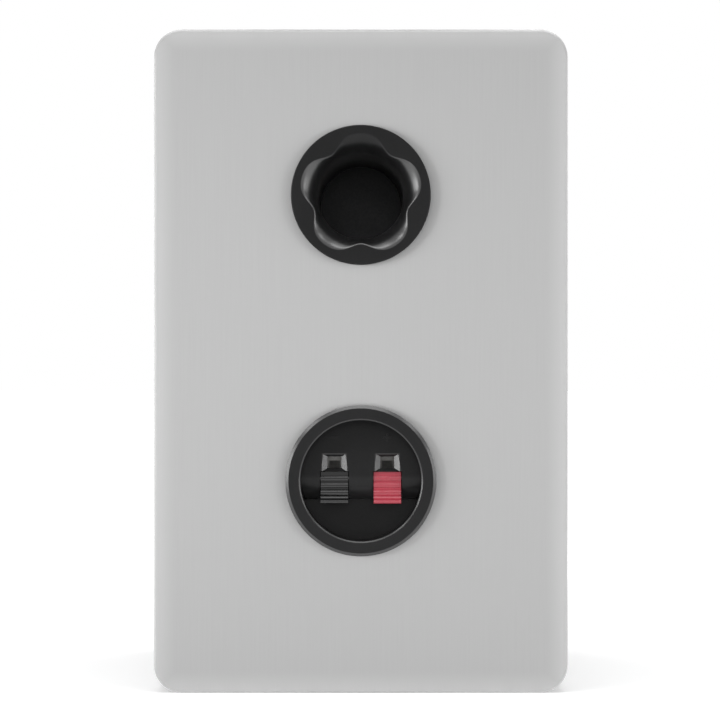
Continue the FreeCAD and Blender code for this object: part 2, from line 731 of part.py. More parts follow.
def polarity_mark(x, upright):
    """Raised bar, or crossed bars, on the upper floor above a clip."""
    middle = CUP_HEIGHT + MARK_RISE
    back, face = behind(-PLATFORM_TOP - PAST), behind(MARK_RELIEF - platform_depth(MARK_RISE))
    long, wide = MARK_LENGTH / 2, MARK_WIDTH / 2
    mark = block(x - long, x + long, back, face, middle - wide, middle + wide)
    if upright:
        mark = mark.fuse(block(x - wide, x + wide, back, face, middle - long, middle + long))
    return mark


def barbs():
    """Snap hooks that hold the cup behind the rear board."""
    back = -CUP_DEPTH
    front = -(PLATE + REAR_BOARD + PANEL_GAP)
    root = CUP_SKIRT - PAST
    wedge = [(root, back), (CUP_SKIRT, back), (CUP_SKIRT + BARB, front), (root, front)]
    hooks = turned(wedge, CUP_HEIGHT, behind)
    half, long = BARB_WIDTH / 2, CUP_RADIUS * 2
    upright = block(-half, half, behind(0), behind(2 * back), CUP_HEIGHT - long, CUP_HEIGHT + long)
    keep = []
    for i in range(BARBS // 2):
        angle = BARB_ANGLE + 180 * i / (BARBS // 2)
        keep.append(upright.rotated(Vector(0, 0, CUP_HEIGHT), Vector(0, 1, 0), angle))
    return hooks.common(keep[0].fuse(keep[1:]))


def terminal_cup():
    """Moulded cup: flange, stepped recess, wire funnels, lever chambers and snap hooks."""
    across, down = CUP_BEVEL
    outline = [
        (0, CUP_FLANGE),
        (CUP_RADIUS - across, CUP_FLANGE),
        (CUP_RADIUS, CUP_FLANGE - down),
        (CUP_RADIUS, 0),
        (CUP_SKIRT, 0),
        (CUP_SKIRT, -CUP_DEPTH),
        (0, -CUP_DEPTH),
    ]
    cup = turned(outline, CUP_HEIGHT, behind).cut(cup_recess())
    rear = block(
        -BLOCK_HALF,
        BLOCK_HALF,
        behind(-CUP_DEPTH),
        behind(-CHAMBER_BACK),
        CUP_HEIGHT + BLOCK_BOTTOM,
        CUP_HEIGHT + BLOCK_TOP,
    )
    cup = cup.fuse([rear, barbs()])
    cup = cup.fuse([polarity_mark(x, x < 0) for x in CLIPS.values()])
    for x in CLIPS.values():
        left, right = x - CHAMBER_HALF, x + CHAMBER_HALF
        floor, top = CUP_HEIGHT - CHAMBER_FLOOR, CUP_HEIGHT + CHAMBER_TOP
        cup = cup.cut(block(left, right, behind(-CHAMBER_FRONT), behind(-CHAMBER_BACK), floor, top))
        slot_floor = CUP_HEIGHT - STEP_DROP - PAST
        slot_top = CUP_HEIGHT + LEVER_TOP + LEVER_TOP_GAP
        slot_back = behind(-CHAMBER_FRONT - PAST)
        cup = cup.cut(block(left, right, slot_back, behind(0), slot_floor, slot_top))
        for space in funnel(x):
            cup = cup.cut(space)
        cup = cup.cut(axle(x, PIVOT_RADIUS + PIVOT_GAP, CHAMBER_HALF + PIVOT_REACH + PANEL_GAP))
    return cup.cut(terminal_gasket()).removeSplitter()


def terminal_gasket():
    """Foam ring that fills a groove under the flange of the cup."""
    inside = CUP_HOLE + PANEL_GAP
    return ring(inside, inside + GASKET_BAND, 0, CUP_GASKET, CUP_HEIGHT, behind)


def axle(x, radius, half):
    """Round bar along X on the pivot of a lever."""
    start = Vector(x - half, behind(-PIVOT_DEPTH), CUP_HEIGHT + PIVOT_RISE)
    return Part.makeCylinder(radius, 2 * half, start, Vector(1, 0, 0))


def terminal_back_cover():
    """Plate that closes the chambers, slotted for the contact tags."""
    cover = block(
        -BLOCK_HALF,
        BLOCK_HALF,
        behind(-CHAMBER_BACK),
        behind(-CHAMBER_BACK - COVER),
        CUP_HEIGHT + BLOCK_BOTTOM,
        CUP_HEIGHT + BLOCK_TOP,
    )
    half_x, half_z = STRIP_WIDTH / 2 + TAG_SLOT_GAP, STRIP / 2 + TAG_SLOT_GAP
    middle = CUP_HEIGHT - TAG_DROP - STRIP / 2
    for x in CLIPS.values():
        y0, y1 = behind(PAST - CHAMBER_BACK), behind(-CHAMBER_BACK - COVER - PAST)
        cover = cover.cut(block(x - half_x, x + half_x, y0, y1, middle - half_z, middle + half_z))
    return cover


def from_pivot(point):
    """(height, rise) in the cup of a lever's (outward, upward) point."""
    return point[0] - PIVOT_DEPTH, point[1] + PIVOT_RISE


def rib_places():
    """(height, rise) of the ribs' axes, evenly spaced along the face of a lever and behind it."""
    bends = [from_pivot(p) for p in (LEVER_FACE_BEND, LEVER_FACE_MIDDLE, LEVER_LIP)]
    top, bend, middle, lip = [
        Vector(*p, 0) for p in ((LEVER_FACE_TOP - PIVOT_DEPTH, LEVER_TOP), *bends)
    ]
    path = Part.Wire([Part.makeLine(top, bend), Part.Arc(bend, middle, lip).toShape()])
    points = path.discretize(Number=LEVER_RIBS + 2)
    places = []
    for before, point, after in zip(points, points[1:], points[2:]):
        along = (after - before).normalize()
        places.append((point.x + RIB_SINK * along.y, point.y - RIB_SINK * along.x))
    return places


def lever(x):
    """Moulded lever: ribbed thumb face, hub with stub axles, and a heel under the contact."""
    hub_back = -PIVOT_DEPTH - HUB_RADIUS
    heel_end = -PIVOT_DEPTH - HEEL_REACH
    outline = [
        (LEVER_FACE_TOP - PIVOT_DEPTH, LEVER_TOP),
        from_pivot(LEVER_FACE_BEND),
        Bend(from_pivot(LEVER_FACE_MIDDLE), from_pivot(LEVER_LIP)),
        Bend(from_pivot(LEVER_LIP_NOSE), from_pivot(LEVER_LIP_UNDER)),
        Bend(from_pivot(LEVER_BACK_MIDDLE), from_pivot(LEVER_BACK_TOP)),
        (-PIVOT_DEPTH, PIVOT_RISE - HUB_RADIUS),
        (heel_end, HEEL_TOP - HEEL_THICKNESS),
        (heel_end, HEEL_TOP),
        (hub_back, PIVOT_RISE + HUB_RADIUS / 2),
        (-PIVOT_DEPTH, LEVER_TOP),
    ]
    half = LEVER_WIDTH / 2
    body = prism(outline, x - half, x + half, CUP_HEIGHT, behind)
    ribs = []
    for height, rise in rib_places():
        start = Vector(x - half, behind(height), CUP_HEIGHT + rise)
        ribs.append(Part.makeCylinder(RIB_RADIUS, LEVER_WIDTH, start, Vector(1, 0, 0)))
    body = body.fuse(ribs + [axle(x, PIVOT_RADIUS, CHAMBER_HALF + PIVOT_REACH)])
    return body.removeSplitter()


def contact_spring(x):
    """Bent contact strip: free leg with a wire window, top, fixed leg and solder tag."""
    free = -PIVOT_DEPTH - STRIP_REACH
    fixed = GLUE_GAP - CHAMBER_BACK
    foot = HEEL_TOP + 2 * GLUE_GAP
    top = CHAMBER_TOP - GLUE_GAP
    tip = -CHAMBER_BACK - TAG_REACH
    path = rounded_path(
        [
            Vector(x, behind(free), CUP_HEIGHT + foot),
            Vector(x, behind(free), CUP_HEIGHT + top),
            Vector(x, behind(fixed), CUP_HEIGHT + top),
            Vector(x, behind(fixed), CUP_HEIGHT - TAG_DROP),
            Vector(x, behind(tip), CUP_HEIGHT - TAG_DROP),
        ],
        lambda i: STRIP_BEND if i < 3 else STRIP,
    )
    half = STRIP_WIDTH / 2
    spread = path.translated(Vector(-half, 0, 0)).extrude(Vector(STRIP_WIDTH, 0, 0))
    strip = outward(spread.makeOffsetShape(STRIP, 1e-4, fill=True, join=2))
    middle = CUP_HEIGHT + FUNNEL_RISE - CONTACT_REST
    reach = CONTACT_WINDOW / 2
    y0, y1 = behind(free - PAST), behind(free + PAST)
    return strip.cut(block(x - reach, x + reach, y0, y1, middle - reach, middle + reach))


def sector(inside, outside, angle, width):
    """Outline of part of a ring about the origin, as (x, z) points."""
    corners = []
    for turn in (-0.5, 0, 0.5):
        way = math.radians(angle + turn * width)
        corners.append((math.cos(way), math.sin(way)))
    low, middle, high = corners
    return [
        (inside * low[0], inside * low[1]),
        (outside * low[0], outside * low[1]),
        Bend(
            (outside * middle[0], outside * middle[1]), (outside * high[0], outside * high[1])
        ),
        (inside * high[0], inside * high[1]),
        Bend((inside * middle[0], inside * middle[1]), (inside * low[0], inside * low[1])),
    ]


def woofer_basket():
    """Pressed basket: flange, windowed cone, spider ledge and can."""
    shoulder = THROAT_RADIUS - SHOULDER_TAPER
    shoulder_level = FLANGE_TOP - SHOULDER_DEPTH
    bore = WINDING_RADIUS + CAN_BORE_GAP
    outline = [
        (WOOFER_RADIUS, FLANGE_TOP),
        (THROAT_RADIUS, FLANGE_TOP),
        (shoulder, shoulder_level),
        (LEDGE_RADIUS, LEDGE_TOP),
        (CAN_RADIUS, LEDGE_TOP),
        (CAN_RADIUS, CAN_FLOOR),
        (bore, CAN_FLOOR),
        (bore, MOTOR_TOP),
        (CAN_RADIUS + SHEET, MOTOR_TOP),
        (CAN_RADIUS + SHEET, LEDGE_TOP - SHEET),
        (LEDGE_RADIUS + SHEET, LEDGE_TOP - SHEET),
        (shoulder + SHEET, shoulder_level - SHEET / 2),
        (THROAT_RADIUS + SHEET, FLANGE_BACK),
        (WOOFER_RADIUS, FLANGE_BACK),
    ]
    basket = turned(outline, WOOFER_Z, ahead)
    inside, outside = LEDGE_RADIUS + SHEET + WINDOW_EDGE, shoulder - WINDOW_EDGE
    for i in range(WINDOWS):
        window = sector(inside, outside, 90 + 360 * i / WINDOWS, WINDOW_ANGLE)
        window = slab(window, ahead(FLANGE_BACK), ahead(MOTOR_TOP))
        basket = basket.cut(window.translated(Vector(0, 0, WOOFER_Z)))
    for x, z in WOOFER_PLACES:
        y0, y1 = ahead(FLANGE_BACK - PAST), ahead(FLANGE_TOP + PAST)
        basket = basket.cut(bar(WOOFER_SCREW.shank + SHANK_GAP, x, z, y0, y1))
    return basket


def woofer_gasket():
    """Foam ring under the flange of the basket."""
    inside = WOOFER_CUTOUT + RECESS_GAP
    gasket = ring(inside, WOOFER_RADIUS - RECESS_GAP, WOOFER_SEAT, FLANGE_BACK, WOOFER_Z, ahead)
    for x, z in WOOFER_PLACES:
        hole = bar(WOOFER_SCREW.shank + SHANK_GAP, x, z, ahead(WOOFER_SEAT - PAST), ahead(FLANGE_TOP))
        gasket = gasket.cut(hole)
    return gasket


def woofer_trim_ring():
    """Moulded ring over the flange and the glued lip of the surround."""
    lip_edge = THROAT_RADIUS + GLUE_LIP + GLUE_GAP
    lip_top = FLANGE_TOP + SURROUND + GLUE_GAP / 2
    inside = THROAT_RADIUS + TRIM_OVERHANG
    arc = TRIM_ROUND * (1 - math.sqrt(0.5))
    outline = [
        (inside, lip_top),
        (lip_edge, lip_top),
        (lip_edge, FLANGE_TOP),
        (WOOFER_RADIUS, FLANGE_TOP),
        (WOOFER_RADIUS, TRIM_TOP - TRIM_ROUND),
        Bend(
            (WOOFER_RADIUS - arc, TRIM_TOP - arc), (WOOFER_RADIUS - TRIM_ROUND, TRIM_TOP)
        ),
        (inside + TRIM_ROUND, TRIM_TOP),
        Bend((inside + arc, TRIM_TOP - arc), (inside, TRIM_TOP - TRIM_ROUND)),
    ]
    trim = turned(outline, WOOFER_Z, ahead)
    return screw_holes(trim, WOOFER_SCREW, WOOFER_PLACES, TRIM_TOP, FLANGE_TOP)


def half_roll(inside, centre, roll, outside, level, film):
    """Outline of a half-roll suspension with a flat lip on each side."""
    outer, inner = roll + film / 2, roll - film / 2
    reach = math.sqrt(outer**2 - film**2)
    return [
        (inside, level),
        (centre - inner, level),
        Bend((centre, level + inner), (centre + inner, level)),
        (outside, level),
        (outside, level + film),
        (centre + reach, level + film),
        Bend((centre, level + outer), (centre - reach, level + film)),
        (inside, level + film),
    ]


def woofer_surround():
    """Rubber half-roll between the cone and the basket."""
    outline = half_roll(
        RIM_INSIDE, ROLL_CENTRE, ROLL_RADIUS, THROAT_RADIUS + GLUE_LIP, FLANGE_TOP, SURROUND
    )
    return turned(outline, WOOFER_Z, ahead)


def cone_front(radius):
    """Level of the front of the cone at a radius."""
    slope = CONE_DEPTH / (RIM_INSIDE - NECK_RADIUS)
    return FLANGE_TOP - (RIM_INSIDE - radius) * slope


def woofer_cone():
    """Straight-sided cone with a flat glued rim."""
    outline = [
        (RIM_RADIUS, FLANGE_TOP),
        (RIM_INSIDE, FLANGE_TOP),
        (NECK_RADIUS, NECK),
        (NECK_RADIUS, NECK - CONE),
        (RIM_INSIDE, FLANGE_TOP - CONE),
        (RIM_RADIUS, FLANGE_TOP - CONE),
    ]
    return turned(outline, WOOFER_Z, ahead)


def dome_outline(radius, base, height, film):
    """Outline of a thin cap between two spheres about one centre."""
    sphere = (radius**2 + height**2) / (2 * height)
    centre = base + height - sphere

    def halfway(shell, edge):
        angle = math.atan2(edge, base - centre) / 2
        return shell * math.sin(angle), centre + shell * math.cos(angle)

    inner = sphere - film
    inner_edge = math.sqrt(inner**2 - (base - centre) ** 2)
    return [
        (0, base + height),
        Bend(halfway(sphere, radius), (radius, base)),
        (inner_edge, base),
        Bend(halfway(inner, inner_edge), (0, base + height - film)),
    ]


def woofer_dust_cap():
    """Domed cap glued on the cone over the coil."""
    base = cone_front(CAP_RADIUS) + GLUE_GAP / 2
    return turned(dome_outline(CAP_RADIUS, base, CAP_HEIGHT, CAP), WOOFER_Z, ahead)


def woofer_coil_former():
    """Thin tube that joins the coil to the neck of the cone."""
    low, high = COIL_BOTTOM - FORMER_OVERHANG, NECK + FORMER_OVERHANG
    return ring(COIL_RADIUS, FORMER_RADIUS, low, high, WOOFER_Z, ahead)


def woofer_coil_winding():
    """Copper winding on the former, centred in the gap."""
    high = COIL_BOTTOM + WINDING_LENGTH
    return ring(FORMER_RADIUS + FIT, WINDING_RADIUS, COIL_BOTTOM, high, WOOFER_Z, ahead)


def woofer_spider():
    """Corrugated cloth disc from the former to the ledge of the basket."""
    inside, outside = FORMER_RADIUS + FIT, LEDGE_RADIUS - GLUE_GAP
    start, end = inside + GLUE_LIP / 2, CAN_RADIUS - GLUE_GAP
    pitch = (end - start) / (2 * SPIDER_ROLLS)

    def wave(level, order):
        bends = []
        for i in order:
            side = 1 if i % 2 == 0 else -1
            middle = (start + (i + 0.5) * pitch, level + side * SPIDER_WAVE)
            stop = i + 1 if order.step > 0 else i
            bends.append(Bend(middle, (start + stop * pitch, level)))
        return bends

    top, bottom = LEDGE_TOP + SPIDER, LEDGE_TOP
    outline = [(inside, top), (start, top), *wave(top, range(2 * SPIDER_ROLLS))]
    outline += [(outside, top), (outside, bottom), (end, bottom)]
    outline += [*wave(bottom, range(2 * SPIDER_ROLLS - 1, -1, -1)), (inside, bottom)]
    return turned(outline, WOOFER_Z, ahead)


def woofer_top_plate():
    """Steel plate on the magnet, bored for the coil."""
    bore = WINDING_RADIUS + COIL_GAP
    return ring(bore, MOTOR_PLATE_RADIUS, MAGNET_TOP, MOTOR_TOP, WOOFER_Z, ahead)


def woofer_magnet():
    """Ferrite ring."""
    return ring(MAGNET_BORE, MAGNET_RADIUS, MAGNET_BACK, MAGNET_TOP, WOOFER_Z, ahead)


def woofer_yoke():
    """Back plate and vented pole in one turning."""
    pole = COIL_RADIUS - COIL_GAP
    outline = [
        (VENT_RADIUS, MOTOR_TOP),
        (pole, MOTOR_TOP),
        (pole, MAGNET_BACK),
        (MOTOR_PLATE_RADIUS, MAGNET_BACK),
        (MOTOR_PLATE_RADIUS, WOOFER_BACK),
        (VENT_RADIUS, WOOFER_BACK),
    ]
    return turned(outline, WOOFER_Z, ahead)


def woofer_tag_strip():
    """Insulating block on top of the can."""
    half = TAG_STRIP_WIDTH / 2
    y0, y1 = ahead(TAG_LEVEL + TAG_STRIP_DEPTH / 2), ahead(TAG_LEVEL - TAG_STRIP_DEPTH / 2)
    strip = block(-half, half, y0, y1, WOOFER_Z, WOOFER_Z + TAG_SEAT)
    return strip.cut(bar(CAN_RADIUS + SHEET + FIT, 0, WOOFER_Z, y0 - PAST, y1 + PAST))


def woofer_tags():
    """Two solder tags on the strip."""
    y0, y1 = ahead(TAG_LEVEL + TAG / 2), ahead(TAG_LEVEL - TAG / 2)
    low = WOOFER_Z + TAG_SEAT
    tags = []
    for x in (-TAG_PITCH / 2, TAG_PITCH / 2):
        tags.append(block(x - TAG_WIDTH / 2, x + TAG_WIDTH / 2, y0, y1, low, low + TAG_HEIGHT))
    return Part.makeCompound(tags)


def woofer_tinsel_leads():
    """Two flexible braids from the tags to the back of the cone."""
    reach = TAG_SEAT + TAG_HEIGHT - TAG_WIDTH / 2
    land = (RIM_INSIDE + NECK_RADIUS) / 2
    level = cone_front(land) - CONE - 2 * GLUE_GAP
    tag_face = TAG_LEVEL + TAG / 2 + GLUE_GAP
    braids = []
    for x in (-TAG_PITCH / 2, TAG_PITCH / 2):
        route = [
            (x, ahead(tag_face), WOOFER_Z + reach),
            (x, ahead(tag_face + SHOULDER_DEPTH), WOOFER_Z + reach - 1),
            (x, ahead(level - SHOULDER_DEPTH), WOOFER_Z + land + 2),
            (x, ahead(level - TINSEL_RADIUS), WOOFER_Z + land),
        ]
        braids.append(lead(route, TINSEL_RADIUS))
    return Part.makeCompound(braids)


def woofer_screws():
    """Socket screws of the woofer."""
    return driver_screws(WOOFER_SCREW, WOOFER_PLACES, TRIM_TOP)


def tweeter_faceplate():
    """Moulded faceplate with a short waveguide and the collar behind it."""
    arc = TWEETER_ROUND * (1 - math.sqrt(0.5))
    clamp = COLLAR_BACK + FILM + FIT
    flare = (
        (WAVEGUIDE_RADIUS + GUIDE_THROAT) / 2 - WAVEGUIDE_BULGE / 2,
        (FACE_TOP + GUIDE_FLOOR) / 2 + WAVEGUIDE_BULGE,
    )
    outline = [
        (WAVEGUIDE_RADIUS, FACE_TOP),
        Bend(flare, (GUIDE_THROAT, GUIDE_FLOOR)),
        (GUIDE_THROAT, clamp),
        (CLAMP_RADIUS + GLUE_GAP, clamp),
        (CLAMP_RADIUS + GLUE_GAP, COLLAR_BACK),
        (COLLAR_RADIUS, COLLAR_BACK),
        (COLLAR_RADIUS, FACE_BACK),
        (TWEETER_RADIUS, FACE_BACK),
        (TWEETER_RADIUS, FACE_TOP - TWEETER_ROUND),
        Bend(
            (TWEETER_RADIUS - arc, FACE_TOP - arc), (TWEETER_RADIUS - TWEETER_ROUND, FACE_TOP)
        ),
    ]
    plate = turned(outline, TWEETER_Z, ahead)
    return screw_holes(plate, TWEETER_SCREW, TWEETER_PLACES, FACE_TOP, FACE_BACK)


def tweeter_gasket():
    """Foam ring under the faceplate."""
    inside = COLLAR_RADIUS + 2 * RECESS_GAP
    outside = TWEETER_RADIUS - RECESS_GAP
    gasket = ring(inside, outside, TWEETER_SEAT, FACE_BACK, TWEETER_Z, ahead)
    for x, z in TWEETER_PLACES:
        hole = bar(TWEETER_SCREW.shank + SHANK_GAP, x, z, ahead(TWEETER_SEAT - PAST), ahead(FACE_TOP))
        gasket = gasket.cut(hole)
    return gasket


def tweeter_dome():
    """Soft dome."""
    return turned(dome_outline(DOME_RADIUS, DOME_BASE, DOME_HEIGHT, FILM), TWEETER_Z, ahead)


def tweeter_suspension():
    """Half-roll round the dome, clamped under the collar."""
    outline = half_roll(
        DOME_RADIUS + FIT, DOME_ROLL_CENTRE, DOME_ROLL, CLAMP_RADIUS, COLLAR_BACK, FILM
    )
    return turned(outline, TWEETER_Z, ahead)


def tweeter_coil_former():
    """Thin tube under the edge of the dome."""
    low = DOME_MAGNET_TOP - FORMER_OVERHANG
    inside = DOME_FORMER_RADIUS - DOME_FORMER
    return ring(inside, DOME_FORMER_RADIUS, low, DOME_BASE, TWEETER_Z, ahead)


def tweeter_coil_winding():
    """Winding centred in the gap of the tweeter."""
    middle = (COLLAR_BACK + DOME_MAGNET_TOP) / 2
    low, high = middle - DOME_WINDING_LENGTH / 2, middle + DOME_WINDING_LENGTH / 2
    return ring(DOME_FORMER_RADIUS + FIT, DOME_WINDING_RADIUS, low, high, TWEETER_Z, ahead)


def tweeter_top_plate():
    """Steel plate under the collar, bored for the coil."""
    bore = DOME_WINDING_RADIUS + DOME_COIL_GAP
    return ring(bore, DOME_PLATE_RADIUS, DOME_MAGNET_TOP, COLLAR_BACK, TWEETER_Z, ahead)


def tweeter_magnet():
    """Ferrite ring of the tweeter."""
    return ring(
        DOME_MAGNET_BORE, DOME_MAGNET_RADIUS, DOME_MAGNET_BACK, DOME_MAGNET_TOP, TWEETER_Z, ahead
    )


def tweeter_yoke():
    """Back plate and pole of the tweeter."""
    outline = [
        (0, COLLAR_BACK),
        (DOME_POLE, COLLAR_BACK),
        (DOME_POLE, DOME_MAGNET_BACK),
        (DOME_PLATE_RADIUS, DOME_MAGNET_BACK),
        (DOME_PLATE_RADIUS, TWEETER_BACK),
        (0, TWEETER_BACK),
    ]
    return turned(outline, TWEETER_Z, ahead)


def tweeter_tag_strip():
    """Insulating strip on the back plate."""
    half, high = TAG_STRIP_WIDTH / 2, DOME_STRIP_HEIGHT / 2
    y0, y1 = ahead(TWEETER_BACK), ahead(TWEETER_BACK - DOME_STRIP)
    return block(-half, half, y0, y1, DOME_TAGS_Z - high, DOME_TAGS_Z + high)


def tweeter_tags():
    """Two solder tags on the strip of the tweeter."""
    seat = TWEETER_BACK - DOME_STRIP
    y0, y1 = ahead(seat), ahead(seat - TAG_HEIGHT)
    tags = []
    for x in (-TAG_PITCH / 2, TAG_PITCH / 2):
        half = TAG_WIDTH / 2
        z0, z1 = DOME_TAGS_Z - TAG / 2, DOME_TAGS_Z + TAG / 2
        tags.append(block(x - half, x + half, y0, y1, z0, z1))
    return Part.makeCompound(tags)


def tweeter_screws():
    """Socket screws of the tweeter."""
    return driver_screws(TWEETER_SCREW, TWEETER_PLACES, FACE_TOP)


def crossover_board():
    """Circuit board with its four fixing holes."""
    half = BOARD_WIDTH / 2
    board = block(-half, half, BOARD_FRONT, BOARD_REAR, BOARD_TOP - BOARD, BOARD_TOP)
    for x, y in BOARD_PLACES:
        board = board.cut(post(BOARD_SCREW.shank + SHANK_GAP, x, y, WALL, BOARD_TOP + PAST))
    return board


def crossover_standoffs():
    """Spacers between the floor and the board."""
    spacers = []
    for x, y in BOARD_PLACES:
        spacer = post(STANDOFF_RADIUS, x, y, WALL, WALL + STANDOFF)
        bore = post(BOARD_SCREW.shank + SHANK_GAP, x, y, WALL - PAST, WALL + STANDOFF + PAST)
        spacers.append(spacer.cut(bore))
    return Part.makeCompound(spacers)


def crossover_screws():
    """Pan-head screws through the board into the floor."""
    screws = []
    for x, y in BOARD_PLACES:
        shank = post(BOARD_SCREW.shank, x, y, BOARD_TOP - BOARD_SCREW.length, BOARD_TOP)
        head = post(BOARD_SCREW.head, x, y, BOARD_TOP, BOARD_TOP + BOARD_SCREW.height)
        screws.append(shank.fuse(head).removeSplitter())
    return Part.makeCompound(screws)


def inductor_bobbin():
    """Flanged plastic spool on the board."""
    low, top = BOARD_TOP + SPOOL_FLANGE, BOARD_TOP + SPOOL_HEIGHT
    spool = post(SPOOL_RADIUS, SPOOL_X, BOARD_MIDDLE, BOARD_TOP, top)
    waist = post(SPOOL_RADIUS + PAST, SPOOL_X, BOARD_MIDDLE, low, top - SPOOL_FLANGE)
    spool = spool.cut(waist.cut(post(SPOOL_CORE, SPOOL_X, BOARD_MIDDLE, BOARD_TOP, top)))
    return spool.cut(post(SPOOL_BORE, SPOOL_X, BOARD_MIDDLE, BOARD_TOP - PAST, top + PAST))


def inductor_winding():
    """Copper winding between the flanges of the spool."""
    low, high = BOARD_TOP + SPOOL_FLANGE, BOARD_TOP + SPOOL_HEIGHT - SPOOL_FLANGE
    winding = post(SPOOL_RADIUS - SPOOL_FILL, SPOOL_X, BOARD_MIDDLE, low, high)
    return winding.cut(post(SPOOL_CORE + FIT, SPOOL_X, BOARD_MIDDLE, low - PAST, high + PAST))


def board_part(size, x, y):
    """Box-shaped component on the board with its upper edges rounded."""
    width, length, height = size
    part = block(
        x - width / 2, x + width / 2, y - length / 2, y + length / 2, BOARD_TOP, BOARD_TOP + height
    )
    edges = [e for e in part.Edges if max(v.Z for v in e.Vertexes) > BOARD_TOP + height / 2]
    return part.makeFillet(PART_ROUND, edges)


def film_capacitor():
    """Boxed film capacitor."""
    return board_part(FILM_SIZE, PARTS_X, BOARD_MIDDLE + PART_SPREAD)


def bipolar_capacitor():
    """Lying can with a crimped neck."""
    radius, length = CAN_SIZE
    y, z = BOARD_MIDDLE - PART_SPREAD, BOARD_TOP + radius
    start = PARTS_X - length / 2
    along = Vector(1, 0, 0)
    can = Part.makeCylinder(radius, length, Vector(start, y, z), along)
    can = can.makeFillet(CAN_ROUND, [can.Edges[0], can.Edges[2]])
    groove_start = Vector(start + CAN_CRIMP_INSET, y, z)
    groove = Part.makeCylinder(radius + PAST, CAN_CRIMP_WIDTH, groove_start, along)
    neck = Part.makeCylinder(radius - CAN_CRIMP, CAN_CRIMP_WIDTH, groove_start, along)
    return can.cut(groove.cut(neck))


def power_resistor():
    """Ceramic block resistor."""
    return board_part(RESISTOR_SIZE, RESISTOR_X, BOARD_MIDDLE)


def mirrored_leads(route, radius):
    """A pair of leads, the second mirrored across x = 0."""
    other = [(-x, y, z) for x, y, z in route]
    return Part.makeCompound([lead(route, radius), lead(other, radius)])


def input_leads():
    """Leads from the contact tags down to the rear of the board."""
    tip = behind(-CHAMBER_BACK - TAG_REACH - GLUE_GAP)
    x, z = CLIP_PITCH / 2, CUP_HEIGHT - TAG_DROP - STRIP / 2
    route = [
        (x, tip, z),
        (x, tip - 9, z - 2),
        (x + 1, tip - 12, z - 17),
        (x + 1, tip - 2, z - 31),
        (x + 2, BOARD_REAR - 4.5, BOARD_TOP + 16),
        (x + 2, BOARD_REAR - 4, BOARD_TOP + GLUE_GAP),
    ]
    return mirrored_leads(route, LEAD_RADIUS)


def woofer_leads():
    """Leads from the front of the board over the magnet to the woofer tags."""
    x, y = TAG_PITCH / 2, ahead(TAG_LEVEL - TAG / 2 - LEAD_RADIUS)
    z = WOOFER_Z + TAG_SEAT + TAG_HEIGHT - LEAD_RADIUS
    route = [
        (26, BOARD_FRONT + 3, BOARD_TOP + GLUE_GAP),
        (27, BOARD_FRONT + 2, BOARD_TOP + 30),
        (38, BOARD_FRONT - 4, BOARD_TOP + 62),
        (33, BOARD_FRONT - 22, z),
        (18, y + 28, z + 14),
        (x + 2, y + 14, z + 8),
        (x, y, z),
    ]
    return mirrored_leads(route, LEAD_RADIUS)


def tweeter_leads():
    """Leads from the front of the board up to the tweeter tags."""
    x, y = TAG_PITCH / 2, ahead(TWEETER_BACK - DOME_STRIP - TAG_HEIGHT - LEAD_RADIUS)
    route = [
        (33, BOARD_FRONT + 3, BOARD_TOP + GLUE_GAP),
        (34, BOARD_FRONT + 2, BOARD_TOP + 34),
        (46, BOARD_FRONT - 2, BOARD_TOP + 70),
        (46, BOARD_FRONT - 8, BOARD_TOP + 112),
        (34, BOARD_FRONT - 24, DOME_TAGS_Z),
        (12, y + 20, DOME_TAGS_Z - 6),
        (x, y, DOME_TAGS_Z),
    ]
    return mirrored_leads(route, LEAD_RADIUS)


def wadding(side):
    """Soft damping slab glued to a side wall."""
    wall = CABINET_WIDTH / 2 - WALL - GLUE_GAP
    front = FRONT_FACE + PLATE + BAFFLE + WADDING_END_GAP
    back = REAR_FACE - PLATE - REAR_BOARD - WADDING_END_GAP
    top = CABINET_HEIGHT - WALL - WADDING_TOP_GAP
    pad = block(side * (wall - WADDING), side * wall, front, back, WADDING_BOTTOM, top)
    return pad.makeFillet(WADDING_ROUND, pad.Edges)


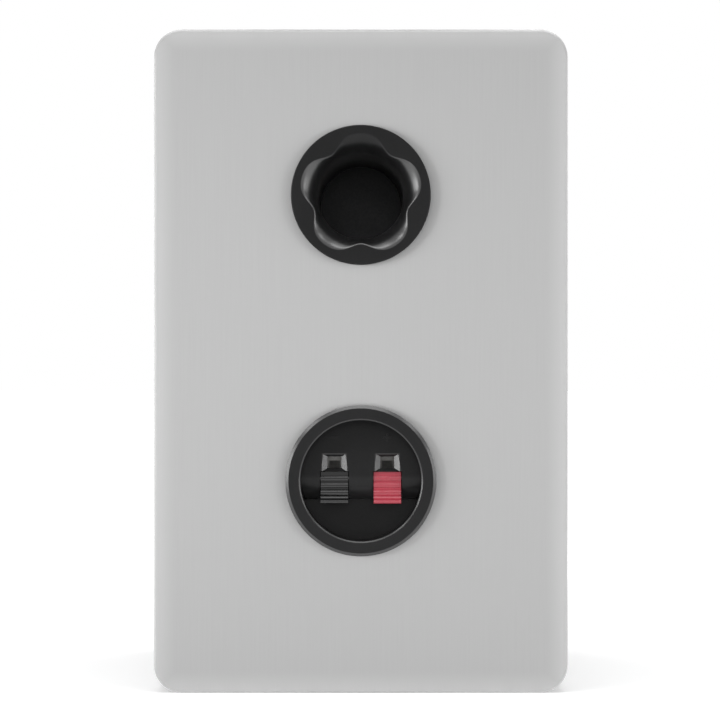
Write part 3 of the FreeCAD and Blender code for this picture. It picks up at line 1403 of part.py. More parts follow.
NODES = {
    "cabinet_sleeve": cabinet_sleeve,
    "front_plate": front_plate,
    "front_baffle": front_baffle,
    "rear_plate": rear_plate,
    "rear_board": rear_board,
    "reflex_port": reflex_port,
    "terminal_cup": terminal_cup,
    "terminal_gasket": terminal_gasket,
    "terminal_back_cover": terminal_back_cover,
    "lever_positive": lambda: lever(CLIPS["positive"]),
    "lever_negative": lambda: lever(CLIPS["negative"]),
    "contact_spring_positive": lambda: contact_spring(CLIPS["positive"]),
    "contact_spring_negative": lambda: contact_spring(CLIPS["negative"]),
    "woofer_basket": woofer_basket,
    "woofer_gasket": woofer_gasket,
    "woofer_trim_ring": woofer_trim_ring,
    "woofer_surround": woofer_surround,
    "woofer_cone": woofer_cone,
    "woofer_dust_cap": woofer_dust_cap,
    "woofer_coil_former": woofer_coil_former,
    "woofer_coil_winding": woofer_coil_winding,
    "woofer_spider": woofer_spider,
    "woofer_top_plate": woofer_top_plate,
    "woofer_magnet": woofer_magnet,
    "woofer_yoke": woofer_yoke,
    "woofer_tag_strip": woofer_tag_strip,
    "woofer_tags": woofer_tags,
    "woofer_tinsel_leads": woofer_tinsel_leads,
    "woofer_screws": woofer_screws,
    "tweeter_faceplate": tweeter_faceplate,
    "tweeter_gasket": tweeter_gasket,
    "tweeter_dome": tweeter_dome,
    "tweeter_suspension": tweeter_suspension,
    "tweeter_coil_former": tweeter_coil_former,
    "tweeter_coil_winding": tweeter_coil_winding,
    "tweeter_top_plate": tweeter_top_plate,
    "tweeter_magnet": tweeter_magnet,
    "tweeter_yoke": tweeter_yoke,
    "tweeter_tag_strip": tweeter_tag_strip,
    "tweeter_tags": tweeter_tags,
    "tweeter_screws": tweeter_screws,
    "crossover_board": crossover_board,
    "crossover_standoffs": crossover_standoffs,
    "crossover_screws": crossover_screws,
    "inductor_bobbin": inductor_bobbin,
    "inductor_winding": inductor_winding,
    "film_capacitor": film_capacitor,
    "bipolar_capacitor": bipolar_capacitor,
    "power_resistor": power_resistor,
    "input_leads": input_leads,
    "woofer_leads": woofer_leads,
    "tweeter_leads": tweeter_leads,
    "wadding_left": lambda: wadding(-1),
    "wadding_right": lambda: wadding(1),
}

os.makedirs("parts", exist_ok=True)
for name, make in NODES.items():
    make().exportStep(f"parts/{name}.step")
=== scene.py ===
"""Looks of a compact two-way studio monitor speaker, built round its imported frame.

The cabinet stands on z = 0. Its front, with the woofer and the tweeter, looks along -Y, and its
back, with the reflex port and the wire terminals, along +Y. Lengths are in metres.
"""
import logging
import math
from dataclasses import dataclass
from enum import Enum
from functools import cache
from typing import Any

import bmesh
import bpy
import numpy as np
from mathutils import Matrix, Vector, noise


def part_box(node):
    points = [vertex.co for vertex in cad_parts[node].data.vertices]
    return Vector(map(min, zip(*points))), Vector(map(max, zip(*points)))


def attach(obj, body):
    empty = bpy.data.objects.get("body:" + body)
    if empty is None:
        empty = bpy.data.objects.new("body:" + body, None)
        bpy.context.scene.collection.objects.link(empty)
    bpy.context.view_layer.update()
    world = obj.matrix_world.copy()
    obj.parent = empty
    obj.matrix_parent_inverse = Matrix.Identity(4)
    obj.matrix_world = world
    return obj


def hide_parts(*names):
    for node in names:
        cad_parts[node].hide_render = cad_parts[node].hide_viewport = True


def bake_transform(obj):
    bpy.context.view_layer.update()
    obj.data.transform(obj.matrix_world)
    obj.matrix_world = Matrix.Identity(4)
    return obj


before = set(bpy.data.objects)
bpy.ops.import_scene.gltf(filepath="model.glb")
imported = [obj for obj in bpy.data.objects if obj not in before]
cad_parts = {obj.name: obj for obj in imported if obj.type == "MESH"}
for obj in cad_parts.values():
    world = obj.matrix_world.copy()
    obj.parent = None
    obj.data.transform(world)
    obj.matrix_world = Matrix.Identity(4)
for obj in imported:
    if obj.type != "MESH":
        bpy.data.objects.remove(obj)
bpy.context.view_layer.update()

log = logging.getLogger("speaker")
Triple = tuple[float, float, float]
Outline = list[tuple[float, float]]
CABINET = "cabinet"
NOISE_SPREAD = (0.3, 0.7)  # most of the noise lies between these
MERGE = 1e-7  # points closer than this are one


class Axis(Enum):
    """Axis of the shared frame."""

    X = 0
    Y = 1
    Z = 2


class Value:
    """A socket that takes part in Python arithmetic."""

    def __init__(self, paint: "Paint", socket: bpy.types.NodeSocket | None) -> None:
        """Keep a socket and the tree that it belongs to."""
        self.paint = paint
        self.socket = socket

    def _math(self, operation: str, first: "Value | float", second: "Value | float") -> "Value":
        """Add one Math node."""
        return self.paint.node("ShaderNodeMath", {"operation": operation}, {0: first, 1: second})

    def __add__(self, other: "Value | float") -> "Value":
        """Sum."""
        return self._math("ADD", self, other)

    __radd__ = __add__

    def __sub__(self, other: "Value | float") -> "Value":
        """Difference."""
        return self._math("SUBTRACT", self, other)

    def __rsub__(self, other: float) -> "Value":
        """Difference from a number."""
        return self._math("SUBTRACT", other, self)

    def __mul__(self, other: "Value | float") -> "Value":
        """Product."""
        return self._math("MULTIPLY", self, other)

    __rmul__ = __mul__

    def __pow__(self, other: float) -> "Value":
        """Power."""
        return self._math("POWER", self, other)

    def __abs__(self) -> "Value":
        """Size without sign."""
        return self._math("ABSOLUTE", self, 0.0)

    def sine(self) -> "Value":
        """Sine of an angle in radians."""
        return self._math("SINE", self, 0.0)

    def over(self, edge: "Value | float") -> "Value":
        """1 where the value is over an edge, otherwise 0."""
        return self._math("GREATER_THAN", self, edge)

    def least(self, other: "Value | float") -> "Value":
        """The smaller of two values."""
        return self._math("MINIMUM", self, other)

    def most(self, other: "Value | float") -> "Value":
        """The larger of two values."""
        return self._math("MAXIMUM", self, other)

    def rise(self, low: float, high: float) -> "Value":
        """Smooth step from 0 at low to 1 at high."""
        settings = {"interpolation_type": "SMOOTHSTEP"}
        return self.paint.node(
            "ShaderNodeMapRange", settings, {"Value": self, "From Min": low, "From Max": high}
        )


class Paint:
    """Builder of one node tree."""

    def __init__(self, tree: bpy.types.NodeTree) -> None:
        """Start from an empty tree."""
        self.tree = tree
        tree.nodes.clear()

    def node(
        self,
        kind: str,
        settings: dict[str, Any] | None = None,
        inputs: dict[int | str, Any] | None = None,
        output: int | str = 0,
    ) -> Value:
        """Add a node.

        Args:
            kind: Blender's name of the node's type.
            settings: Properties of the node, set first.
            inputs: Numbers or values for its sockets, by name or index.
            output: Name or index of the socket to return.

        Returns:
            The output socket as a value.
        """
        made = self.tree.nodes.new(kind)
        for name, setting in (settings or {}).items():
            setattr(made, name, setting)
        for name, value in (inputs or {}).items():
            if isinstance(value, Value):
                self.tree.links.new(value.socket, made.inputs[name])
            else:
                made.inputs[name].default_value = value
        return Value(self, made.outputs[output] if made.outputs else None)

    def place(self) -> Value:
        """Place of a point in the piece's own frame."""
        return self.node("ShaderNodeTexCoord", output="Object")

    def along(self, axis: Axis) -> Value:
        """One coordinate of a point."""
        return self.node("ShaderNodeSeparateXYZ", inputs={0: self.place()}, output=axis.value)

    def radius(self, x: float, z: float) -> Value:
        """Distance from an axis along Y through (x, z)."""
        return (
            (self.along(Axis.X) - x) ** 2.0 + (self.along(Axis.Z) - z) ** 2.0
        ) ** 0.5

    def grain(self, size: float, stretch: Triple = (1.0, 1.0, 1.0), detail: float = 2.0) -> Value:
        """Cloudy noise.

        Args:
            size: Rough width of a lump.
            stretch: How many times longer the lumps are along each axis.
            detail: Finer layers of noise.

        Returns:
            The noise, about 0.5 on average.
        """
        scale = tuple(1.0 / (size * share) for share in stretch)
        spot = self.node(
            "ShaderNodeVectorMath", {"operation": "MULTIPLY"}, {0: self.place(), 1: scale}
        )
        return self.node(
            "ShaderNodeTexNoise", inputs={"Vector": spot, "Scale": 1.0, "Detail": detail}
        )

    def mix(self, share: Value, first: "Value | Triple", second: "Value | Triple") -> Value:
        """Colour between two colours.

        Args:
            share: 0 for the first colour, 1 for the second.
            first: Colour or colour socket.
            second: Colour or colour socket.

        Returns:
            The mixed colour.
        """
        ends = [c if isinstance(c, Value) else (*c, 1.0) for c in (first, second)]
        return self.node(
            "ShaderNodeMix", {"data_type": "RGBA"}, {0: share, 6: ends[0], 7: ends[1]}, 2
        )

    def bump(self, height: Value, depth: float) -> Value:
        """Normal of a surface whose relief is depth between 0 and 1 of height."""
        return self.node("ShaderNodeBump", inputs={"Height": height, "Distance": depth})

    def surface(self, inputs: dict[int | str, Any]) -> None:
        """Finish the tree with one Principled surface."""
        shader = self.node("ShaderNodeBsdfPrincipled", inputs=inputs)
        self.node("ShaderNodeOutputMaterial", inputs={"Surface": shader})


@dataclass(frozen=True)
class Finish:
    """A named surface finish."""

    name: str

    def coat(self, paint: Paint) -> None:
        """Build the finish in an empty tree."""
        raise NotImplementedError


@cache
def material_of(finish: Finish) -> bpy.types.Material:
    """Material of a finish, made once."""
    made = bpy.data.materials.new(finish.name)
    made.use_nodes = True
    finish.coat(Paint(made.node_tree))
    return made


@dataclass(frozen=True)
class BrushedPlate(Finish):
    """Aluminium plate brushed upright, with a painted highlight that makes it a little brighter along its
    edges.
    """

    dark: Triple = (0.41, 0.41, 0.41)
    light: Triple = (0.435, 0.435, 0.435)
    # rim: colour of the painted highlight along the plate's edges
    rim: Triple = (0.485, 0.485, 0.485)
    painted_highlight_width: float = 0.009
    half_width: float = 0.078
    height: float = 0.25
    line: float = 0.0006
    line_run: float = 60.0
    line_share: float = 0.7
    band: float = 0.0084
    band_run: float = 10.0
    roughness: tuple[float, float] = (0.62, 0.66)
    anisotropy: float = 0.85
    relief: float = 0.0000015

    def coat(self, paint: Paint) -> None:
        """Long fine lines in colour, gloss and relief."""
        lines = paint.grain(self.line, (1.0, 1.0, self.line_run), 3.0)
        bands = paint.grain(self.band, (1.0, 1.0, self.band_run), 1.0)
        tone = (lines * self.line_share + bands * (1.0 - self.line_share)).rise(*NOISE_SPREAD)
        side = self.half_width - abs(paint.along(Axis.X))
        high = paint.along(Axis.Z)
        # painted highlight: the colour turns to the paler rim colour near the plate's edges
        edge = side.least(high).least(self.height - high)
        body = paint.mix(tone, self.dark, self.light)
        smooth, rough = self.roughness
        paint.surface(
            {
                "Base Color": paint.mix(edge.rise(0.0, self.painted_highlight_width), self.rim, body),
                "Metallic": 1.0,
                "Roughness": smooth + (rough - smooth) * tone,
                "Anisotropic": self.anisotropy,
                "Normal": paint.bump(lines, self.relief),
            }
        )


@dataclass(frozen=True)
class Grained(Finish):
    """One material with a fine grain: moulded plastic, rubber, paint, board, plating or ceramic."""

    dark: Triple
    light: Triple
    roughness: tuple[float, float]
    size: float = 0.0006
    depth: float = 0.00001
    stretch: Triple = (1.0, 1.0, 1.0)
    metallic: float = 0.0
    specular: float = 0.5
    cloud: float = 25.0

    def inputs(self, paint: Paint) -> dict[int | str, Any]:
        """Grain in the relief, with clouds many grains wide in the colour and the gloss."""
        grain = paint.grain(self.size, self.stretch)
        clouds = paint.grain(self.size * self.cloud, self.stretch, 3.0)
        tone = (grain * 0.5 + clouds * 0.5).rise(*NOISE_SPREAD)
        low, high = self.roughness
        return {
            "Base Color": paint.mix(tone, self.dark, self.light),
            "Metallic": self.metallic,
            "Roughness": low + (high - low) * clouds.rise(*NOISE_SPREAD),
            "Specular IOR Level": self.specular,
            "Normal": paint.bump(grain, self.depth),
        }

    def coat(self, paint: Paint) -> None:
        """One surface with the grain."""
        paint.surface(self.inputs(paint))


@dataclass(frozen=True)
class CupMoulding(Grained):
    """Moulding of the terminal cup, polished on its bevels and in its wire entries.

    The lower flank of its ridge and the corner under it are painted paler, painted light that lifts their
    shade, to meet the photo's tone.
    """

    centre_z: float = 0.08
    edge: tuple[float, float] = (0.02285, 0.02335)
    edge_polish: float = 0.6
    rim: float = 0.02725
    rim_polish: float = 1.0
    clip_x: float = 0.01
    entry_z: float = 0.0867
    entry_half: tuple[float, float] = (0.0047, 0.0034)
    ridge_foot: tuple[float, float] = (0.0721, 0.0729)
    ridge_flank: tuple[float, float] = (0.0756, 0.0778)
    ridge_half: float = 0.0222
    ridge_painted_light: Triple = (0.034, 0.034, 0.035)
    gloss: float = 0.27

    def inputs(self, paint: Paint) -> dict[int | str, Any]:
        """Grain with clear gloss on the ring's bevels and in the entries, and painted light under the
        ridge.
        """
        radius = paint.radius(0.0, self.centre_z)
        low, high = self.edge
        edge = self.edge_polish * radius.over(low) * (high - radius).over(0.0)
        bevels = edge.most(self.rim_polish * radius.over(self.rim))
        beside = abs(abs(paint.along(Axis.X)) - self.clip_x)
        above = abs(paint.along(Axis.Z) - self.entry_z)
        across, up = self.entry_half
        entries = (across - beside).over(0.0) * (up - above).over(0.0)
        polish = entries.most(bevels)
        height = paint.along(Axis.Z)
        # painted light: the ridge's lower flank and the corner under it get a paler colour where they lie
        # in shade
        flank = height.rise(*self.ridge_foot) * (1.0 - height.rise(*self.ridge_flank))
        under = flank * (self.ridge_half - radius).over(0.0)
        plain = super().inputs(paint)
        colour = paint.mix(under, plain["Base Color"], self.ridge_painted_light)
        return {**plain, "Base Color": colour, "Coat Weight": polish, "Coat Roughness": self.gloss}


@dataclass(frozen=True)
class PortMoulding(Grained):
    """Moulding of the port, glossier on the lip of its mouth.

    The tube is painted paler with depth, as painted light in the dark bore, and the top lobe is duller, to
    meet the tones in the photo.
    """

    centre_z: float = 0.1875
    face: float = 0.097375
    below_face: float = 0.00001
    lip_depth: float = 0.009
    lip_polish: float = 1.0
    mouth: float = 0.0245
    top_lobe: tuple[float, float] = (0.011, 0.017)
    top_dull: float = 0.95
    tube_depth: tuple[float, float] = (0.002, 0.05)
    tube_painted_light: Triple = (0.15, 0.15, 0.153)
    gloss: float = 0.27
    gloss_index: float = 1.62

    def inputs(self, paint: Paint) -> dict[int | str, Any]:
        """Grain with clear gloss that fades from the lip into the mouth, less in the top lobe, with painted
        light down the tube.
        """
        depth = self.face - paint.along(Axis.Y)
        inside = depth.over(self.below_face) * (self.mouth - paint.radius(0.0, self.centre_z)).over(0.0)
        fade = self.lip_polish * (1.0 - depth.rise(0.0, self.lip_depth))
        above = (paint.along(Axis.Z) - self.centre_z).rise(*self.top_lobe)
        polish = inside * fade * (1.0 - self.top_dull * above)
        plain = super().inputs(paint)
        # painted light: the colour turns paler with depth down the tube
        colour = paint.mix(depth.rise(*self.tube_depth), plain["Base Color"], self.tube_painted_light)
        coat = {"Coat Weight": polish, "Coat Roughness": self.gloss, "Coat IOR": self.gloss_index}
        return {**plain, **coat, "Base Color": colour}


@dataclass(frozen=True)
class Pulp(Finish):
    """Pressed paper with fibres and faint rings about an axis along Y."""

    dark: Triple
    light: Triple
    centre_z: float
    ring: float = 0.0024
    roughness: float = 0.7
    fibre: float = 0.0007
    fibre_run: float = 4.0
    specular: float = 0.22
    relief: float = 0.00008

    def coat(self, paint: Paint) -> None:
        """Fibres in the colour, rings and fibres in the relief."""
        fibres = paint.grain(self.fibre, (1.0, 1.0, self.fibre_run), 4.0)
        cross = paint.grain(self.fibre, (self.fibre_run, 1.0, 1.0), 4.0)
        felt = (fibres + cross) * 0.5
        rings = (paint.radius(0.0, self.centre_z) * (2 * math.pi / self.ring)).sine()
        paint.surface(
            {
                "Base Color": paint.mix(felt.rise(0.35, 0.65), self.dark, self.light),
                "Roughness": self.roughness + 0.15 * felt,
                "Specular IOR Level": self.specular,
                "Normal": paint.bump(felt + 0.25 * rings, self.relief),
            }
        )


@dataclass(frozen=True)
class Weave(Finish):
    """Woven cloth, bare or doped, seen along Y."""

    dark: Triple
    light: Triple
    pitch: float
    roughness: float
    sheen: float
    specular: float = 0.3

    def coat(self, paint: Paint) -> None:
        """Crossed threads in the colour and the relief."""
        turn = 2 * math.pi / self.pitch
        warp = (paint.along(Axis.X) * turn).sine()
        weft = (paint.along(Axis.Z) * turn).sine()
        thread = 0.5 + 0.5 * warp * weft
        uneven = paint.grain(self.pitch * 8.0)
        paint.surface(
            {
                "Base Color": paint.mix(thread * 0.6 + uneven * 0.4, self.dark, self.light),
                "Roughness": self.roughness + 0.1 * uneven,
                "Specular IOR Level": self.specular,
                "Sheen Weight": self.sheen,
                "Normal": paint.bump(thread, self.pitch * 0.15),
            }
        )


@dataclass(frozen=True)
class Winding(Finish):
    """Enamelled copper wire wound along an axis."""

    axis: Axis
    pitch: float
    dark: Triple = (0.3, 0.09, 0.03)
    light: Triple = (0.62, 0.25, 0.1)

    def coat(self, paint: Paint) -> None:
        """One rib for each turn, with the enamel darker between them."""
        turns = (paint.along(self.axis) * (2 * math.pi / self.pitch)).sine()
        uneven = paint.grain(self.pitch * 6.0)
        tone = (turns * 0.3 + uneven).rise(0.1, 0.8)
        paint.surface(
            {
                "Base Color": paint.mix(tone, self.dark, self.light),
                "Metallic": 0.9,
                "Roughness": 0.28 + 0.2 * uneven,
                "Normal": paint.bump(turns, self.pitch * 0.2),
            }
        )


@dataclass(frozen=True)
class Laminate(Finish):
    """Circuit board with tracks under a green mask."""

    pitch: float = 0.009
    mask: Triple = (0.008, 0.06, 0.028)
    copper: Triple = (0.02, 0.14, 0.06)
    track_edge: tuple[float, float] = (0.06, 0.09)
    weave: float = 0.0008
    relief: float = 0.00006

    def coat(self, paint: Paint) -> None:
        """Broad tracks that show lighter and stand a little proud."""
        cells = paint.node(
            "ShaderNodeTexVoronoi",
            {"feature": "DISTANCE_TO_EDGE", "distance": "EUCLIDEAN"},
            {"Vector": paint.place(), "Scale": 1.0 / self.pitch, "Randomness": 0.55},
        )
        track = cells.rise(*self.track_edge)
        weave = paint.grain(self.weave)
        paint.surface(
            {
                "Base Color": paint.mix(track, self.mask, self.copper),
                "Roughness": 0.3 + 0.15 * weave,
                "Normal": paint.bump(track + 0.2 * weave, self.relief),
            }
        )


@dataclass(frozen=True)
class PairedLead(Finish):
    """Insulation of a pair of leads, one colour on each side of x = 0."""

    left: Triple = (0.42, 0.02, 0.025)
    right: Triple = (0.015, 0.015, 0.016)
    lump: float = 0.0015
    relief: float = 0.00008

    def coat(self, paint: Paint) -> None:
        """Colour by side, with a slight unevenness."""
        side = paint.along(Axis.X).over(0.0)
        uneven = paint.grain(self.lump)
        paint.surface(
            {
                "Base Color": paint.mix(side, self.left, self.right),
                "Roughness": 0.35 + 0.2 * uneven,
                "Normal": paint.bump(uneven, self.relief),
            }
        )


@dataclass(frozen=True)
class Fibre(Finish):
    """Loose white fibre."""

    dark: Triple = (0.55, 0.54, 0.5)
    light: Triple = (0.86, 0.85, 0.82)
    strand: float = 0.0012
    strand_run: float = 7.0

    def coat(self, paint: Paint) -> None:
        """Tangled strands in the colour and the relief."""
        one = paint.grain(self.strand, (1.0, self.strand_run, 1.0), 4.0)
        two = paint.grain(self.strand, (1.0, 1.0, self.strand_run), 4.0)
        tangle = (one + two).rise(0.7, 1.3)
        paint.surface(
            {
                "Base Color": paint.mix(tangle, self.dark, self.light),
                "Roughness": 0.85 + 0.1 * tangle,
                "Sheen Weight": 0.5,
                "Normal": paint.bump(tangle, self.strand),
            }
        )


@dataclass(frozen=True)
class StudioFloor(Finish):
    """White floor that glows for the camera and keeps the shadow."""

    white: Triple = (0.8, 0.8, 0.8)
    near: float = 0.85
    near_in_view: float = 0.25
    glow_from: float = 0.12
    glow_to: float = 0.7

    def coat(self, paint: Paint) -> None:
        """White paint with light added for what sees it as background."""
        seen = background_rays(paint)
        x, y = paint.along(Axis.X), paint.along(Axis.Y)
        far = (x * x + y * y).rise(self.glow_from**2, self.glow_to**2)
        in_view = paint.node("ShaderNodeLightPath", output="Is Camera Ray")
        near = self.near - (self.near - self.near_in_view) * in_view
        level = seen * (near + (1.0 - near) * far)
        paint.surface(
            {
                "Base Color": (*self.white, 1.0),
                "Roughness": 1.0,
                "Specular IOR Level": 0.0,
                "Emission Color": paint.mix(level, (0.0, 0.0, 0.0), (1.0, 1.0, 1.0)),
                "Emission Strength": 1.0,
            }
        )


def background_rays(paint: Paint) -> Value:
    """1 for camera, glossy and transmission rays."""
    kinds = ("Is Camera Ray", "Is Glossy Ray", "Is Transmission Ray")
    rays = [paint.node("ShaderNodeLightPath", output=kind) for kind in kinds]
    return rays[0].most(rays[1]).most(rays[2])


def dress(finish: Finish, *nodes: str) -> None:
    """Give frame nodes a finish.

    Args:
        finish: The finish.
        nodes: Names of frame nodes.
    """
    for name in nodes:
        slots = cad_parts[name].data.materials
        slots.clear()
        slots.append(material_of(finish))
        log.info("%s: %s", name, finish.name)


def shape(name: str, mesh: bpy.types.Mesh, finish: Finish, sharp: float = 40.0) -> bpy.types.Object:
    """Turn a mesh into a shown piece.

    Args:
        name: Name of the piece.
        mesh: Its mesh.
        finish: Its finish.
        sharp: Edges over this angle, in degrees, stay sharp.

    Returns:
        The piece, linked to the scene.
    """
    work = bmesh.new()
    work.from_mesh(mesh)
    bmesh.ops.remove_doubles(work, verts=work.verts, dist=MERGE)
    bmesh.ops.recalc_face_normals(work, faces=work.faces)
    work.to_mesh(mesh)
    work.free()
    mesh.materials.clear()
    mesh.materials.append(material_of(finish))
    mesh.shade_smooth()
    mesh.set_sharp_from_angle(angle=math.radians(sharp))
    piece = bpy.data.objects.new(name, mesh)
    bpy.context.scene.collection.objects.link(piece)
    log.info("%s: %s", name, finish.name)
    return piece


def stand_in(piece: bpy.types.Object, node: str) -> bpy.types.Object:
    """Hide a frame node, so that a piece shows in its place."""
    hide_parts(node)
    return piece


def follow(piece: bpy.types.Object) -> None:
    """Bake a piece's transform into its mesh.

    Args:
        piece: A piece with no parent.
    """
    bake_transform(piece)


def points_of(piece: bpy.types.Object) -> np.ndarray:
    """Vertices of a piece, one row each."""
    return np.array([v.co for v in piece.data.vertices], float).reshape(-1, 3)


def radii_of(piece: bpy.types.Object, centre_z: float) -> np.ndarray:
    """Distance of each vertex of a piece from an axis along Y through (0, centre_z)."""
    points = points_of(piece)
    return np.hypot(points[:, 0], points[:, 2] - centre_z)


def supple_copy(node: str, cuts: dict[Axis, int]) -> bpy.types.Mesh:
    """Copy a node's mesh and cut it across so that it can bend.

    Args:
        node: Name of a frame node.
        cuts: Number of slices along each axis.

    Returns:
        The new mesh.
    """
    work = bmesh.new()
    work.from_mesh(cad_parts[node].data)
    low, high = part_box(node)
    for axis, count in cuts.items():
        normal = Vector([float(axis.value == i) for i in range(3)])
        for step in range(1, count):
            bmesh.ops.bisect_plane(
                work,
                geom=[*work.verts, *work.edges, *work.faces],
                plane_co=low.lerp(high, step / count),
                plane_no=normal,
            )
    mesh = bpy.data.meshes.new(node)
    work.to_mesh(mesh)
    work.free()
    if "custom_normal" in mesh.attributes:
        mesh.attributes.remove(mesh.attributes["custom_normal"])
    return mesh


def ring_mesh(name: str, rings: list[list[Triple]]) -> bpy.types.Mesh:
    """Join closed rings of points, the last one to the first.

    Args:
        name: Name of the mesh.
        rings: Points of each ring, the same number in each.

    Returns:
        A closed mesh of quads.
    """
    count = len(rings[0])
    faces = []
    for step in range(len(rings)):
        here, on = step * count, (step + 1) % len(rings) * count
        for i in range(count):
            j = (i + 1) % count
            faces.append((here + i, here + j, on + j, on + i))
    mesh = bpy.data.meshes.new(name)
    mesh.from_pydata([point for ring in rings for point in ring], [], faces)
    return mesh


@dataclass
class Lathe:
    """Turns closed outlines of (radius, place along the axis)."""

    axis: Axis
    centre: Triple
    steps: int = 144

    def turn(self, name: str, outline: Outline) -> bpy.types.Mesh:
        """Turn an outline all the way round.

        Args:
            name: Name of the mesh.
            outline: Closed outline, without the first point repeated.

        Returns:
            A closed mesh of quads.
        """
        x, y, z = self.centre
        along_y = self.axis is Axis.Y
        rings = []
        for step in range(self.steps):
            angle = 2 * math.pi * step / self.steps
            ring = []
            for radius, place in outline:
                across, up = radius * math.cos(angle), radius * math.sin(angle)
                ring.append((x + across, y + place, z + up) if along_y else (x + across, y + up, z + place))
            rings.append(ring)
        return ring_mesh(name, rings)


def half_roll(
    inside: float, centre: float, roll: float, outside: float, film: float, bends: int = 28
) -> Outline:
    """Outline of a half-roll with a flat lip on each side.

    Args:
        inside: Radius of the inner lip's edge.
        centre: Radius of the middle of the roll.
        roll: Radius of the roll's own section.
        outside: Radius of the outer lip's edge.
        film: Thickness.
        bends: Steps round the roll.

    Returns:
        Points as (radius, height above the lips' underside).
    """
    inner, outer = roll - film / 2, roll + film / 2
    start = math.asin(film / outer)
    under = [(inside, 0.0)]
    for step in range(bends + 1):
        angle = math.pi * (1 - step / bends)
        under.append((centre + inner * math.cos(angle), inner * math.sin(angle)))
    over = [(outside, 0.0), (outside, film)]
    for step in range(bends + 1):
        angle = start + (math.pi - 2 * start) * step / bends
        over.append((centre + outer * math.cos(angle), outer * math.sin(angle)))
    return [*under, *over, (inside, film)]


PLATE = BrushedPlate("brushed aluminium plate")
PLATED_STEEL = Grained(
    "zinc plated steel", (0.5, 0.49, 0.46), (0.62, 0.61, 0.58), (0.28, 0.42), 0.0008, 0.000006,
    metallic=1.0,
)
BLACK_SCREW = Grained(
    "black oxide screw", (0.02, 0.02, 0.021), (0.05, 0.05, 0.052), (0.34, 0.5), 0.0003, metallic=0.7
)
FOAM = Grained("gasket foam", (0.008, 0.008, 0.009), (0.04, 0.04, 0.042), (0.85, 0.95), 0.0005, 0.0002)
FERRITE = Grained("ferrite", (0.025, 0.025, 0.027), (0.07, 0.07, 0.074), (0.55, 0.75), 0.0004, 0.00003)
PHENOLIC = Grained(
    "phenolic laminate", (0.1, 0.05, 0.025), (0.18, 0.1, 0.05), (0.28, 0.36), 0.0006, 0.000004,
    stretch=(6.0, 1.0, 1.0),
)
FORMER = Grained("varnished former", (0.3, 0.14, 0.04), (0.45, 0.24, 0.08), (0.25, 0.4), 0.0008)
BRONZE = Grained(
    "tinned bronze", (0.18, 0.177, 0.171), (0.24, 0.236, 0.228), (0.4, 0.48), 0.0006, 0.000004,
    metallic=1.0,
)
NYLON = Grained("white nylon", (0.62, 0.61, 0.57), (0.78, 0.77, 0.73), (0.4, 0.52), 0.0009, specular=0.4)
LEADS = PairedLead("paired lead insulation")


@dataclass
class Cabinet:
    """Lacquered sleeve with an aluminium plate and a board at each end."""

    grain: float = 0.0005

    def dress(self) -> None:
        """Finish the sleeve, the plates and the boards."""
        lacquer = Grained(
            "silver lacquer", (0.334, 0.334, 0.339), (0.346, 0.346, 0.351), (0.475, 0.49), self.grain,
            0.00001, metallic=0.35,
        )
        board = Grained(
            "fibre board", (0.3, 0.2, 0.12), (0.5, 0.37, 0.25), (0.75, 0.9), 0.0011, 0.0001,
            stretch=(2.0, 1.0, 2.0),
        )
        dress(lacquer, "cabinet_sleeve")
        dress(PLATE, "front_plate", "rear_plate")
        dress(board, "front_baffle", "rear_board")


